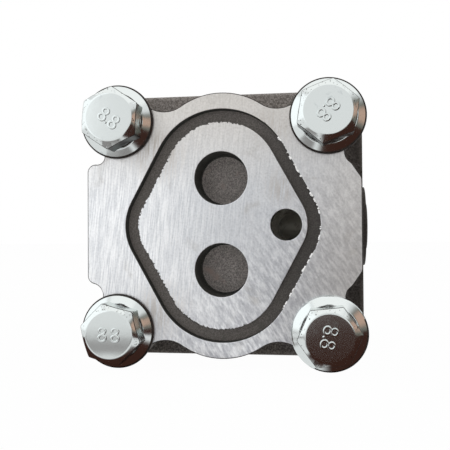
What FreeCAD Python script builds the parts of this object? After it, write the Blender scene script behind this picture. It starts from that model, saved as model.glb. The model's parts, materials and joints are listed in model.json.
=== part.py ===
import FreeCAD, Part
import math
import os

# An external gear pump: three castings bolted face to face, with two meshed gears between wear plates.
# X runs to the right when the rear face is looked at, Y runs along the shafts towards the drive end,
# and Z is up. The origin is the centre of the bolt pattern on the mounting face.
# All sizes are in millimetres.

V = FreeCAD.Vector
ALONG_Y = V(0, 1, 0)
TINY = 1e-5
CUT_MARGIN = 1.0

# Through bolts, M8 with a flanged hexagon head
bolt_spacing = 50.8
bolt_r = 4.0
bolt_shank_r = 3.6
bolt_hole_gap = 0.25
bolt_standout = 16.0
bolt_tip_chamfer = 0.7
hex_across_flats = 13.0
flange_r = 8.95
flange_edge = 1.1
flange_neck_r = 7.0
flange_slope_height = 1.1
head_height = 8.1
head_face_r = 5.42
head_chamfer_angle = 30.0
hex_turn = {"top_left": 26.0, "top_right": 20.5, "bottom_left": 45.5, "bottom_right": 6.0}

# Lengths of the stack along Y
mounting_cover_thickness = 18.0
gear_body_thickness = 22.0
rear_base_thickness = 11.5
rear_pad_thickness = 12.5

# Outlines of the castings, whose corners are concentric with the bolts
flange_overhang = 0.95
rear_base_outset = 0.15
rear_base_shift = 0.5
gear_body_inset = 0.2
casting_edge_ease = 1.2
cover_edge_chamfer = 0.8

# Raised pad of the rear cover
lobe_r = 17.5
lobe_inset = 1.55
waist_r = 7.0
left_upper_notch_r = 1.9
left_lower_notch_r = 2.9
right_notch_r = 2.8
pad_side_inset = 0.2
left_notch_width = 2.2
left_notch_extra_below = 1.05
left_block_corner_r = 2.0
right_notch_width = 2.4
right_shoulder_inset = 1.9
right_shoulder_r = 2.0
right_block_step = 2.8
right_block_corner_r = 2.0
shelf_drop = 3.2
shelf_inset = 0.4
shelf_length = 9.4

# Rear face details
face_groove_width = 3.0
face_groove_depth = 2.8
face_groove_lobe_r = 16.95
face_groove_side_r = 12.5
face_groove_half_width = 23.55
face_groove_turn = 0.4
pocket_r = 6.4
pocket_depth = 8.0
pocket_lift = 0.3
pocket_floor_ease = 0.8
tapping_r = 3.7
tapping_x = 15.5

# Gears
gear_module = 2.0
gear_teeth = 11
gear_pressure_angle = 25.0
gear_addendum = 1.0
gear_dedendum = 1.25
gear_backlash = 0.12
gear_root_ease = 0.6
flank_points = 6

# Shafts, bushes and keys
shaft_r = 6.0
journal_gap = 0.03
bush_wall = 1.47
bush_length = 11.8
bush_end_gap = 0.2
shaft_end_gap = 0.6
shaft_chamfer = 0.5
key_width = 3.0
key_length = 12.0
key_depth_in_shaft = 1.8
key_height_in_gear = 1.2
key_top_gap = 0.2
shaft_standout = 8.0
spline_neck_length = 1.6
spline_length = 14.0
spline_module = 1.0
spline_teeth = 10
spline_pressure_angle = 30.0
spline_tip_r = 5.9
spline_root_r = 4.9
spline_neck_r = 4.8
spline_tooth_thickness = 2.0
spline_chamfer = 0.8

# Gear chamber and wear plates
tip_gap = 0.06
wear_plate_thickness = 3.0
wear_plate_edge_gap = 0.05
wear_plate_hole_gap = 0.15
gear_side_gap = 0.05
relief_depth = 1.0
relief_width = 3.0
relief_height = 5.0
relief_x = 2.5
pressure_seal_inset = 0.8
pressure_seal_width = 2.4
pressure_seal_depth = 1.8
pressure_seal_side_gap = 0.1
pressure_seal_mouth_x = 4.5

# Ports in the gear body
outlet_port_r = 5.25
outlet_land_r = 6.4
inlet_port_r = 7.6
inlet_land_r = 9.4
port_depth = 13.0
port_standout = 2.45
port_land_height = 0.55
outlet_passage_r = 4.2
inlet_passage_r = 5.6
port_chamfer = 0.6

# Joint face seals and dowels
body_seal_width = 2.4
body_seal_depth = 1.8
body_seal_side_gap = 0.15
body_seal_outset = 0.5
dowel_r = 2.5
dowel_reach = 6.0
dowel_end_gap = 0.4
dowel_edge = 6.4
dowel_below_bolt = 12.4

# Pilot spigot and shaft seal
pilot_r = 18.25
pilot_height = 5.0
pilot_chamfer = 0.8
o_ring_section_r = 0.95
o_ring_groove_width = 2.3
o_ring_groove_start = 1.1
o_ring_recess = 0.05
seal_r = 12.0
seal_width = 7.0
seal_case_wall = 0.8
seal_case_inner_r = 8.6
seal_shaft_hole_r = 6.8
seal_recess = 2.0
retaining_ring_thickness = 1.0
retaining_ring_groove_depth = 0.7
retaining_ring_radial_width = 1.9
retaining_ring_gap_angle = 50.0
retaining_ring_slack = 0.1
lug_r = 1.5
lug_hole_r = 0.6
lip_gap = 0.05
lip_body_thickness = 1.2
lip_reach = 5.5
lip_head_height = 2.4
lip_waist = 0.35
lip_edge = 0.6
lip_arm_lift = 0.9
dust_lip_gap = 0.15
garter_r = 0.55
garter_depth = 4.4

# Places worked out from the sizes above
mount_y = 0.0
front_joint_y = mount_y - mounting_cover_thickness
rear_joint_y = front_joint_y - gear_body_thickness
base_front_y = rear_joint_y - rear_base_thickness
rear_face_y = base_front_y - rear_pad_thickness
bolt_half = bolt_spacing / 2
pitch_r = gear_module * gear_teeth / 2
shaft_z = pitch_r
gear_tip_r = pitch_r + gear_addendum * gear_module
gear_root_r = pitch_r - gear_dedendum * gear_module
chamber_r = gear_tip_r + tip_gap
pressure_seal_r = pitch_r - pressure_seal_inset
bush_r = shaft_r + journal_gap + bush_wall
bush_bore_depth = bush_length + bush_end_gap
bolt_hole_r = bolt_r + bolt_hole_gap
cover_half = bolt_half + flange_r
ear_r = flange_r - flange_overhang
pad_corner_reach = bolt_half + ear_r
rear_base_half = pad_corner_reach + rear_base_outset
gear_body_half = pad_corner_reach - gear_body_inset
pad_half_width = pad_corner_reach - pad_side_inset
lobe_z = pad_corner_reach - lobe_inset - lobe_r
left_block_half_height = bolt_half - ear_r - left_notch_width
right_shoulder_x = pad_half_width - right_shoulder_inset
right_shoulder_half_height = bolt_half - ear_r - right_notch_width
right_block_half_height = right_shoulder_half_height - right_block_step
shelf_half_height = right_shoulder_half_height - shelf_inset
port_face_x = gear_body_half + port_standout
dowel_x = pad_corner_reach - dowel_edge
dowel_z = bolt_half - dowel_below_bolt
port_y = (front_joint_y + rear_joint_y) / 2
pilot_y = mount_y + pilot_height
seal_face_y = pilot_y - seal_recess
rear_shaft_y = rear_joint_y - bush_bore_depth + shaft_end_gap
front_blind_y = front_joint_y + bush_bore_depth
gear_start_y = rear_joint_y + wear_plate_thickness + gear_side_gap
gear_end_y = front_joint_y - wear_plate_thickness - gear_side_gap
CORNERS = {"top_left": (-1, 1), "top_right": (1, 1), "bottom_left": (-1, -1), "bottom_right": (1, -1)}
SHAFTS = {"drive": shaft_z, "idler": -shaft_z}


def arc_edge(centre_x, centre_z, start, end, turns_left, y):
    """Arc round a centre in the XZ plane at height y, from one (x, z) point to another."""
    first = math.atan2(start[1] - centre_z, start[0] - centre_x)
    last = math.atan2(end[1] - centre_z, end[0] - centre_x)
    sweep = (last - first) % (2 * math.pi)
    if not turns_left:
        sweep -= 2 * math.pi
    if abs(sweep) < TINY or abs(sweep) > 2 * math.pi - TINY:
        return []
    radius = math.hypot(start[0] - centre_x, start[1] - centre_z)
    halfway = first + sweep / 2
    middle = V(centre_x + radius * math.cos(halfway), y, centre_z + radius * math.sin(halfway))
    arc = Part.Arc(V(start[0], y, start[1]), middle, V(end[0], y, end[1]))
    return [arc.toShape()]


def belt(rings, y):
    """Closed wire that runs round rings of (x, z, r) like a belt. A negative r turns inwards."""
    spans = []
    for i, (x1, z1, r1) in enumerate(rings):
        x2, z2, r2 = rings[(i + 1) % len(rings)]
        run = math.hypot(x2 - x1, z2 - z1)
        lean = math.acos(max(-1.0, min(1.0, (r2 - r1) / run)))
        normal = math.atan2(z2 - z1, x2 - x1) + lean
        nx, nz = math.cos(normal), math.sin(normal)
        leave, arrive = (x1 - r1 * nx, z1 - r1 * nz), (x2 - r2 * nx, z2 - r2 * nz)
        touching = math.hypot(arrive[0] - leave[0], arrive[1] - leave[1]) < TINY
        spans.append((leave, leave if touching else arrive))
    edges = []
    for i, (x, z, r) in enumerate(rings):
        leave, arrive = spans[i]
        edges += arc_edge(x, z, spans[i - 1][1], leave, r > 0, y)
        if arrive != leave:
            edges.append(Part.makeLine(V(leave[0], y, leave[1]), V(arrive[0], y, arrive[1])))
    return Part.Wire(edges)


def touching_ring(ring_a, ring_b, r, side):
    """Inward ring that touches rings a and b, on the left (1) or right (-1) going from a to b.

    Its radius is r, or half the gap between the rings where that is wider.
    """
    (ax, az, ar), (bx, bz, br) = ring_a, ring_b
    run = math.hypot(bx - ax, bz - az)
    r = max(r, (run - ar - br) / 2)
    along = ((ar + r) ** 2 - (br + r) ** 2 + run ** 2) / (2 * run)
    across = math.sqrt(max(0.0, (ar + r) ** 2 - along ** 2))
    ux, uz = (bx - ax) / run, (bz - az) / run
    return (ax + along * ux - side * across * uz, az + along * uz + side * across * ux, -r)


def slab(wire, y_to):
    """Solid from a wire in the XZ plane, drawn out along Y to y_to."""
    y_from = wire.Vertexes[0].Point.y
    return Part.Face(wire).extrude(V(0, y_to - y_from, 0))


def drum(x, z, r, y_from, y_to):
    """Cylinder along Y."""
    return Part.makeCylinder(r, y_to - y_from, V(x, y_from, z), ALONG_Y)


def side_drum(r, x_from, x_to):
    """Cylinder along X on the port axis."""
    outward = V(math.copysign(1, x_to - x_from), 0, 0)
    return Part.makeCylinder(r, abs(x_to - x_from), V(x_from, port_y, 0), outward)


def turned(x, z, profile):
    """Solid of revolution about a line along Y through (x, z), from (radius, y) points."""
    points = [V(x + radius, y, z) for radius, y in profile]
    face = Part.Face(Part.makePolygon(points + points[:1]))
    return face.revolve(V(x, 0, z), ALONG_Y, 360)


def rim_edges(solid, y):
    """Edges of a solid that lie in the plane at y."""
    return [e for e in solid.Edges if all(abs(v.Point.y - y) < TINY for v in e.Vertexes)
            and abs(e.BoundBox.YLength) < TINY * 10]


def rounded_square(half, corner_r, y, shift=0):
    """Wire of a square with rounded corners. Shift moves it by as much in X as in Z."""
    low, high = shift - (half - corner_r), shift + (half - corner_r)
    return belt([(high, low, corner_r), (high, high, corner_r), (low, high, corner_r), (low, low, corner_r)], y)


def bolt_holes(y_from, y_to):
    """Clearance drillings for the four through bolts."""
    return [drum(sx * bolt_half, sz * bolt_half, bolt_hole_r, y_from, y_to) for sx, sz in CORNERS.values()]


def rhombus(outset, y):
    """Rounded rhombus round both shafts: the outer edge of the face groove, moved outwards by outset."""
    side_x = face_groove_half_width - face_groove_side_r
    lobe = face_groove_lobe_r + outset
    side = face_groove_side_r + outset
    return belt([(side_x, 0, side), (0, shaft_z, lobe), (-side_x, 0, side), (0, -shaft_z, lobe)], y)


def rhombus_band(outer, width, y_from, y_to):
    """Band of the rounded rhombus between its outer edge and one width inside it."""
    return slab(rhombus(outer, y_from), y_to).cut(slab(rhombus(outer - width, y_from), y_to))


def pad_outline(y):
    """Outline of the raised pad: lobes over the shafts, ears round the bolts and a block on each side."""
    right_x = pad_half_width - right_block_corner_r
    right_z = right_block_half_height - right_block_corner_r
    shoulder_z = right_shoulder_half_height - right_shoulder_r
    shoulder = (right_shoulder_x - right_shoulder_r, shoulder_z, right_shoulder_r)
    left_x = left_block_corner_r - pad_half_width
    left_z = left_block_half_height - left_block_corner_r
    left_low_z = left_z - left_notch_extra_below
    ear_right = (bolt_half, bolt_half, ear_r)
    ear_left = (-bolt_half, bolt_half, ear_r)
    lobe = (0, lobe_z, lobe_r)

    def upper_half(left_end_z, left_notch_r):
        left = (left_x, left_end_z, left_block_corner_r)
        return [
            (right_x, right_z, right_block_corner_r),
            shoulder,
            touching_ring(shoulder, ear_right, right_notch_r, -1),
            ear_right,
            touching_ring(ear_right, lobe, waist_r, -1),
            lobe,
            touching_ring(lobe, ear_left, waist_r, -1),
            ear_left,
            touching_ring(ear_left, left, left_notch_r, -1),
            left,
        ]

    bottom = [(x, -z, r) for x, z, r in reversed(upper_half(left_low_z, left_lower_notch_r))]
    return belt(upper_half(left_z, left_upper_notch_r) + bottom, y)


def dowel_places(flip):
    """The two opposite corners that carry dowels, on one diagonal or the other."""
    return [(dowel_x, -flip * dowel_z), (-dowel_x, flip * dowel_z)]


def tooth_wire(z, y, teeth, wheel_pitch_r, pressure_angle, tip_r, root_r, thickness, root_ease):
    """Closed involute tooth outline about (0, z). One tooth is centred on the downward direction."""
    pressure = math.radians(pressure_angle)
    base_r = wheel_pitch_r * math.cos(pressure)
    start_r = max(base_r, root_r)
    foot_r = min(start_r, root_r + root_ease)

    def half_angle(radius):
        roll = math.acos(min(1.0, base_r / radius))
        involute_gain = (math.tan(pressure) - pressure) - (math.tan(roll) - roll)
        return thickness / (2 * wheel_pitch_r) + involute_gain

    def place(radius, angle):
        return V(radius * math.sin(angle), y, z - radius * math.cos(angle))

    radii = [start_r + (tip_r - start_r) * i / (flank_points - 1) for i in range(flank_points)]
    pitch_angle = 2 * math.pi / teeth
    edges = []
    for k in range(teeth):
        centre = k * pitch_angle
        rising = Part.BSplineCurve()
        rising.interpolate([place(radius, centre - half_angle(radius)) for radius in radii])
        falling = Part.BSplineCurve()
        falling.interpolate([place(radius, centre + half_angle(radius)) for radius in reversed(radii)])
        tip = Part.Arc(place(tip_r, centre - half_angle(tip_r)), place(tip_r, centre),
                       place(tip_r, centre + half_angle(tip_r)))
        foot_angle = half_angle(start_r)
        left_foot = place(foot_r, centre + foot_angle)
        right_foot = place(foot_r, centre + pitch_angle - foot_angle)
        edges += [rising.toShape(), tip.toShape(), falling.toShape()]
        if start_r - foot_r > TINY:
            edges.append(Part.makeLine(place(start_r, centre + foot_angle), left_foot))
        edges.append(Part.Arc(left_foot, place(root_r, centre + pitch_angle / 2), right_foot).toShape())
        if start_r - foot_r > TINY:
            edges.append(Part.makeLine(right_foot, place(start_r, centre + pitch_angle - foot_angle)))
    return Part.Wire(edges)


def rear_cover():
    """Rear casting: a square base with the raised machined pad, its seal groove, pockets and tapping.

    The base lies in the other half of the mould, and the two halves were a little out of line. The groove
    is cast in as well, and lies a little askew to the machined pockets.
    """
    base_wire = rounded_square(rear_base_half, rear_base_half - bolt_half, base_front_y, rear_base_shift)
    base = slab(base_wire, rear_joint_y)
    base = base.makeFillet(casting_edge_ease, rim_edges(base, base_front_y))
    pad = slab(pad_outline(rear_face_y), base_front_y + casting_edge_ease)
    shelf_z = shelf_half_height - right_shoulder_r
    shelf_x = pad_corner_reach - right_shoulder_r
    shelf_inner_x = shelf_x - shelf_length
    shelf_wire = belt([(shelf_x, -shelf_z, right_shoulder_r), (shelf_x, shelf_z, right_shoulder_r),
                       (shelf_inner_x, shelf_z, right_shoulder_r),
                       (shelf_inner_x, -shelf_z, right_shoulder_r)],
                      rear_face_y + shelf_drop)
    shelf = slab(shelf_wire, rear_joint_y)
    body = base.fuse([pad, shelf])
    pocket_ends = rear_face_y, rear_face_y + pocket_depth
    pocket = [drum(0, z + pocket_lift, pocket_r, *pocket_ends) for z in SHAFTS.values()]
    pocket = [p.makeFillet(pocket_floor_ease, rim_edges(p, pocket_ends[1])) for p in pocket]
    bores = [drum(0, z, bush_r, rear_joint_y - bush_bore_depth, rear_joint_y) for z in SHAFTS.values()]
    tapping = drum(tapping_x, 0, tapping_r, rear_face_y, rear_joint_y)
    dowels = [drum(x, z, dowel_r, rear_joint_y - dowel_reach, rear_joint_y) for x, z in dowel_places(1)]
    groove = rhombus_band(0, face_groove_width, rear_face_y, rear_face_y + face_groove_depth)
    groove.rotate(V(0, 0, 0), ALONG_Y, -face_groove_turn)
    cuts = pocket + bores + [tapping, groove] + dowels + bolt_holes(rear_face_y, rear_joint_y)
    return body.cut(cuts).removeSplitter()


def port(side, port_r, land_r):
    """Boss and land of one port, on the right (1) or the left (-1)."""
    boss_r = gear_body_thickness / 2
    boss = side_drum(boss_r, side * chamber_r, side * port_face_x)
    land = side_drum(land_r, side * chamber_r, side * (port_face_x + port_land_height))
    return boss.fuse(land)


def port_cut(side, port_r, passage_r):
    """Tapped bore with its chamfer, and the passage on into the gear chamber."""
    mouth = side * (port_face_x + port_land_height)
    bore = side_drum(port_r, mouth, mouth - side * port_depth)
    lead = Part.makeCone(port_r + port_chamfer, port_r, port_chamfer, V(mouth, port_y, 0), V(-side, 0, 0))
    passage = side_drum(passage_r, mouth - side * port_depth, 0)
    return bore.fuse([lead, passage])


def gear_body():
    """Middle casting: the gear chamber, a port boss on each side and a seal groove in each joint face."""
    body = slab(rounded_square(gear_body_half, gear_body_half - bolt_half, rear_joint_y), front_joint_y)
    body = body.fuse([port(1, outlet_port_r, outlet_land_r), port(-1, inlet_port_r, inlet_land_r)])
    chamber = [drum(0, z, chamber_r, rear_joint_y, front_joint_y) for z in SHAFTS.values()]
    ports = [port_cut(1, outlet_port_r, outlet_passage_r), port_cut(-1, inlet_port_r, inlet_passage_r)]
    tapping = drum(tapping_x, 0, tapping_r, rear_joint_y, port_y)
    grooves = [
        rhombus_band(body_seal_outset, body_seal_width, rear_joint_y, rear_joint_y + body_seal_depth),
        rhombus_band(body_seal_outset, body_seal_width, front_joint_y - body_seal_depth, front_joint_y),
    ]
    dowels = [drum(x, z, dowel_r, rear_joint_y, rear_joint_y + dowel_reach) for x, z in dowel_places(1)]
    dowels += [drum(x, z, dowel_r, front_joint_y - dowel_reach, front_joint_y) for x, z in dowel_places(-1)]
    cuts = chamber + ports + [tapping] + grooves + dowels + bolt_holes(rear_joint_y, front_joint_y)
    return body.cut(cuts).removeSplitter()


def mounting_cover():
    """Front casting: the mounting face with its pilot spigot, the shaft seal bore and two bush bores."""
    plate = slab(rounded_square(cover_half, flange_r, front_joint_y), mount_y)
    plate = plate.makeChamfer(cover_edge_chamfer, rim_edges(plate, mount_y))
    pilot = turned(0, shaft_z, [(0, front_joint_y), (pilot_r, front_joint_y),
                                (pilot_r, pilot_y - pilot_chamfer),
                                (pilot_r - pilot_chamfer, pilot_y), (0, pilot_y)])
    groove_floor_r = pilot_r - 2 * o_ring_section_r - o_ring_recess
    groove_y = mount_y + o_ring_groove_start
    o_ring_groove = drum(0, shaft_z, pilot_r + CUT_MARGIN, groove_y, groove_y + o_ring_groove_width).cut(
        drum(0, shaft_z, groove_floor_r, groove_y, groove_y + o_ring_groove_width))
    seal_bore = drum(0, shaft_z, seal_r, seal_face_y - seal_width, pilot_y)
    ring_groove = drum(0, shaft_z, seal_r + retaining_ring_groove_depth, seal_face_y,
                       seal_face_y + retaining_ring_thickness + retaining_ring_slack)
    shaft_hole = drum(0, shaft_z, seal_shaft_hole_r, front_joint_y, pilot_y)
    bores = [drum(0, z, bush_r, front_joint_y, front_blind_y) for z in SHAFTS.values()]
    dowels = [drum(x, z, dowel_r, front_joint_y, front_joint_y + dowel_reach) for x, z in dowel_places(-1)]
    cuts = [o_ring_groove, seal_bore, ring_groove, shaft_hole] + bores + dowels
    cuts += bolt_holes(front_joint_y, mount_y)
    return plate.fuse(pilot).cut(cuts).removeSplitter()


def pilot_o_ring():
    """Rubber ring in the groove of the pilot."""
    ring_r = pilot_r - o_ring_section_r - o_ring_recess
    y = mount_y + o_ring_groove_start + o_ring_groove_width / 2
    return Part.makeTorus(ring_r, o_ring_section_r, V(0, y, shaft_z), ALONG_Y)


def key(z):
    """Parallel key of one shaft, under the downward tooth."""
    length_gap = (gear_end_y - gear_start_y - key_length) / 2
    top = shaft_r + key_height_in_gear
    bottom = shaft_r - key_depth_in_shaft
    return Part.makeBox(key_width, key_length, top - bottom,
                        V(-key_width / 2, gear_start_y + length_gap, z - top))


def gear(z):
    """Spur gear of one shaft, with its bore and key slot."""
    thickness = math.pi * gear_module / 2 - gear_backlash / 2
    wire = tooth_wire(z, gear_start_y, gear_teeth, pitch_r, gear_pressure_angle, gear_tip_r, gear_root_r,
                      thickness, gear_root_ease)
    slot_top = shaft_r + key_height_in_gear + key_top_gap
    slot = Part.makeBox(key_width, gear_end_y - gear_start_y, slot_top,
                        V(-key_width / 2, gear_start_y, z - slot_top))
    return slab(wire, gear_end_y).cut([drum(0, z, shaft_r, gear_start_y, gear_end_y), slot])


def plain_shaft(z, y_to):
    """Ground shaft from the rear journal to y_to, chamfered at both ends, with its key seat."""
    body = turned(0, z, [(0, rear_shaft_y), (shaft_r - shaft_chamfer, rear_shaft_y),
                         (shaft_r, rear_shaft_y + shaft_chamfer), (shaft_r, y_to - shaft_chamfer),
                         (shaft_r - shaft_chamfer, y_to), (0, y_to)])
    return body.cut(key(z))


def drive_shaft():
    """Drive shaft with its involute splined end outside the mounting cover."""
    shoulder_y = pilot_y + shaft_standout
    spline_y = shoulder_y + spline_neck_length
    end_y = spline_y + spline_length
    neck = drum(0, shaft_z, spline_neck_r, shoulder_y - shaft_chamfer, spline_y)
    wire = tooth_wire(shaft_z, spline_y, spline_teeth, spline_module * spline_teeth / 2,
                      spline_pressure_angle, spline_tip_r, spline_root_r, spline_tooth_thickness, 0)
    teeth = slab(wire, end_y)
    envelope = turned(0, shaft_z, [(0, spline_y), (spline_tip_r, spline_y),
                                   (spline_tip_r, end_y - spline_chamfer),
                                   (spline_tip_r - spline_chamfer, end_y), (0, end_y)])
    return plain_shaft(shaft_z, shoulder_y).fuse([neck, teeth.common(envelope)])


def bush(z, y_from, y_to):
    """Plain bearing bush."""
    inner_r = shaft_r + journal_gap
    return drum(0, z, bush_r, y_from, y_to).cut(drum(0, z, inner_r, y_from, y_to))


def pressure_seal_band(side_gap, y_from, y_to):
    """Band shaped like a 3 that rings both shaft holes on the suction side."""
    outer = pressure_seal_r + pressure_seal_width / 2 - side_gap
    inner = pressure_seal_r - pressure_seal_width / 2 + side_gap
    outers = [drum(0, z, outer, y_from, y_to) for z in SHAFTS.values()]
    inners = [drum(0, z, inner, y_from, y_to) for z in SHAFTS.values()]
    reach = shaft_z + outer
    keep = Part.makeBox(reach + pressure_seal_mouth_x - side_gap, y_to - y_from, 2 * reach,
                        V(-reach, y_from, -reach))
    return outers[0].fuse(outers[1]).cut(inners).common(keep).removeSplitter()


def pressure_seal(y_from, y_to):
    """Rubber seal in the back of a wear plate, with a little room at its sides."""
    return pressure_seal_band(pressure_seal_side_gap, y_from, y_to)


def wear_plate(back_y, gear_y):
    """Floating side plate: its back with the seal groove at back_y, its gear side at gear_y."""
    low, high = min(back_y, gear_y), max(back_y, gear_y)
    inward = math.copysign(1, gear_y - back_y)
    plate_r = chamber_r - wear_plate_edge_gap
    discs = [drum(0, z, plate_r, low, high) for z in SHAFTS.values()]
    plate = discs[0].fuse(discs[1]).removeSplitter()
    holes = [drum(0, z, shaft_r + wear_plate_hole_gap, low, high) for z in SHAFTS.values()]
    groove_end = back_y + inward * pressure_seal_depth
    groove = pressure_seal_band(0, min(back_y, groove_end), max(back_y, groove_end))
    relief_y = min(gear_y, gear_y - inward * relief_depth)
    reliefs = [Part.makeBox(relief_width, relief_depth, relief_height,
                            V(side * relief_x - relief_width / 2, relief_y, -relief_height / 2))
               for side in (-1, 1)]
    return plate.cut(holes + [groove] + reliefs)


def body_seal(y_from, y_to):
    """Moulded rubber ring in a joint face groove."""
    outer = body_seal_outset - body_seal_side_gap
    return rhombus_band(outer, body_seal_width - 2 * body_seal_side_gap, y_from, y_to)


def dowel(x, z, joint_y):
    """Dowel pin across a joint."""
    half = dowel_reach - dowel_end_gap
    pin = drum(x, z, dowel_r, joint_y - half, joint_y + half)
    return pin.makeChamfer(dowel_end_gap, rim_edges(pin, joint_y - half) + rim_edges(pin, joint_y + half))


def flange_bolt(x, z, turn):
    """Flanged hexagon bolt with a reduced shank. Its flange bears on the rear face.

    The threaded end, at its full diameter, stands out of the mounting face as a stud.
    """
    tip_y = mount_y + bolt_standout
    top_y = rear_face_y - head_height
    neck_y = rear_face_y - flange_edge - flange_slope_height
    flange = turned(x, z, [(0, rear_face_y), (flange_r, rear_face_y), (flange_r, rear_face_y - flange_edge),
                           (flange_neck_r, neck_y), (0, neck_y)])
    corner_r = hex_across_flats / math.sqrt(3)
    corners = [math.radians(turn + 60 * k) for k in range(6)]
    hex_y = rear_face_y - flange_edge
    points = [V(x + corner_r * math.cos(a), hex_y, z + corner_r * math.sin(a)) for a in corners]
    hexagon = Part.Face(Part.makePolygon(points + points[:1])).extrude(V(0, top_y - hex_y, 0))
    fall = (corner_r - head_face_r) * math.tan(math.radians(head_chamfer_angle))
    envelope = turned(x, z, [(0, top_y), (head_face_r, top_y), (corner_r, top_y + fall),
                             (corner_r, rear_face_y), (0, rear_face_y)])
    shank = turned(x, z, [(0, hex_y), (bolt_shank_r, hex_y), (bolt_shank_r, mount_y), (bolt_r, mount_y),
                          (bolt_r, tip_y - bolt_tip_chamfer), (bolt_r - bolt_tip_chamfer, tip_y), (0, tip_y)])
    return flange.fuse([hexagon.common(envelope), shank]).removeSplitter()


def shaft_seal():
    """Steel case, rubber lip and garter spring of the rotary shaft seal."""
    web_y = seal_face_y - seal_case_wall
    body_y = web_y - lip_body_thickness
    wall_r = seal_r - seal_case_wall
    case = turned(0, shaft_z, [(wall_r, seal_face_y - seal_width), (seal_r, seal_face_y - seal_width),
                               (seal_r, seal_face_y), (seal_case_inner_r, seal_face_y),
                               (seal_case_inner_r, web_y), (wall_r, web_y)])
    lip_r = shaft_r + lip_gap
    head_r = lip_r + lip_head_height
    tip_y = seal_face_y - lip_reach
    garter_y = seal_face_y - garter_depth
    lip = turned(0, shaft_z, [(wall_r, web_y), (wall_r, body_y), (head_r, body_y),
                              (head_r - lip_waist, garter_y + lip_body_thickness),
                              (head_r + lip_waist, garter_y), (head_r, tip_y),
                              (lip_r + lip_edge, tip_y), (lip_r, garter_y + lip_waist),
                              (lip_r + lip_arm_lift, body_y), (lip_r + lip_arm_lift, web_y),
                              (lip_r + dust_lip_gap, seal_face_y), (seal_case_inner_r, seal_face_y),
                              (seal_case_inner_r, web_y)])
    spring = Part.makeTorus(head_r, garter_r, V(0, garter_y, shaft_z), ALONG_Y)
    return case, lip.cut(spring), spring


def retaining_ring():
    """Internal circlip with two eyes, sprung into the groove of the seal bore."""
    y_to = seal_face_y + retaining_ring_thickness
    outer_r = seal_r + retaining_ring_groove_depth - retaining_ring_slack
    inner_r = outer_r - retaining_ring_radial_width
    ring = drum(0, shaft_z, outer_r, seal_face_y, y_to).cut(drum(0, shaft_z, inner_r, seal_face_y, y_to))
    half = math.radians(retaining_ring_gap_angle / 2)
    reach = outer_r + CUT_MARGIN
    spread_x, spread_z = reach * math.sin(half), shaft_z + reach * math.cos(half)
    wedge = Part.makePolygon([V(0, seal_face_y, shaft_z), V(spread_x, seal_face_y, spread_z),
                              V(0, seal_face_y, shaft_z + 2 * reach), V(-spread_x, seal_face_y, spread_z),
                              V(0, seal_face_y, shaft_z)])
    ring = ring.cut(Part.Face(wedge).extrude(V(0, retaining_ring_thickness, 0)))
    angle = half + math.asin(lug_r / inner_r)
    for side in (-1, 1):
        x, z = side * inner_r * math.sin(angle), shaft_z + inner_r * math.cos(angle)
        ring = ring.fuse(drum(x, z, lug_r, seal_face_y, y_to))
        ring = ring.cut(drum(x, z, lug_hole_r, seal_face_y, y_to))
    return ring.removeSplitter()


seal_case, seal_lip, seal_spring = shaft_seal()
nodes = {
    "rear_cover": rear_cover(),
    "gear_body": gear_body(),
    "mounting_cover": mounting_cover(),
    "drive_shaft": drive_shaft(),
    "idler_shaft": plain_shaft(-shaft_z, front_blind_y - shaft_end_gap),
    "rear_wear_plate": wear_plate(rear_joint_y, rear_joint_y + wear_plate_thickness),
    "front_wear_plate": wear_plate(front_joint_y, front_joint_y - wear_plate_thickness),
    "rear_pressure_seal": pressure_seal(rear_joint_y, rear_joint_y + pressure_seal_depth),
    "front_pressure_seal": pressure_seal(front_joint_y - pressure_seal_depth, front_joint_y),
    "rear_body_seal": body_seal(rear_joint_y, rear_joint_y + body_seal_depth),
    "front_body_seal": body_seal(front_joint_y - body_seal_depth, front_joint_y),
    "pilot_o_ring": pilot_o_ring(),
    "shaft_seal_case": seal_case,
    "shaft_seal_lip": seal_lip,
    "garter_spring": seal_spring,
    "seal_retaining_ring": retaining_ring(),
}
for shaft_name, shaft_height in SHAFTS.items():
    nodes[shaft_name + "_gear"] = gear(shaft_height)
    nodes[shaft_name + "_key"] = key(shaft_height)
    nodes[shaft_name + "_rear_bush"] = bush(shaft_height, rear_joint_y - bush_length, rear_joint_y)
    nodes[shaft_name + "_front_bush"] = bush(shaft_height, front_joint_y, front_joint_y + bush_length)
for joint_name, joint_y, flip in (("rear", rear_joint_y, 1), ("front", front_joint_y, -1)):
    for side_name, (dowel_at_x, dowel_at_z) in zip(("right", "left"), dowel_places(flip)):
        nodes[joint_name + "_dowel_" + side_name] = dowel(dowel_at_x, dowel_at_z, joint_y)
for corner_name, (corner_x, corner_z) in CORNERS.items():
    bolt_x, bolt_z = corner_x * bolt_half, corner_z * bolt_half
    nodes["flange_bolt_" + corner_name] = flange_bolt(bolt_x, bolt_z, hex_turn[corner_name])

os.makedirs("parts", exist_ok=True)
for name, shape in nodes.items():
    shape.exportStep("parts/" + name + ".step")
    print(name, shape.ShapeType, len(shape.Solids), "solids", "valid" if shape.isValid() else "NOT VALID",
          round(shape.Volume, 1))
print(len(nodes), "nodes")
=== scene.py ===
# %% [markdown]
# A hydraulic gear pump, dressed for its portrait. The pump's solids come from the CAD frame at their real
# size, and every piece made here sits in that same frame. X runs to the right when the rear face is
# looked at, Y runs along the shafts towards the drive end, Z is up. The frame is loaded first, and its
# outer box is kept, so that the finished model can be held against it.

# %% Load the frame
import json
import math
import random
import bmesh
import bpy
from mathutils import Matrix, Vector


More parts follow.
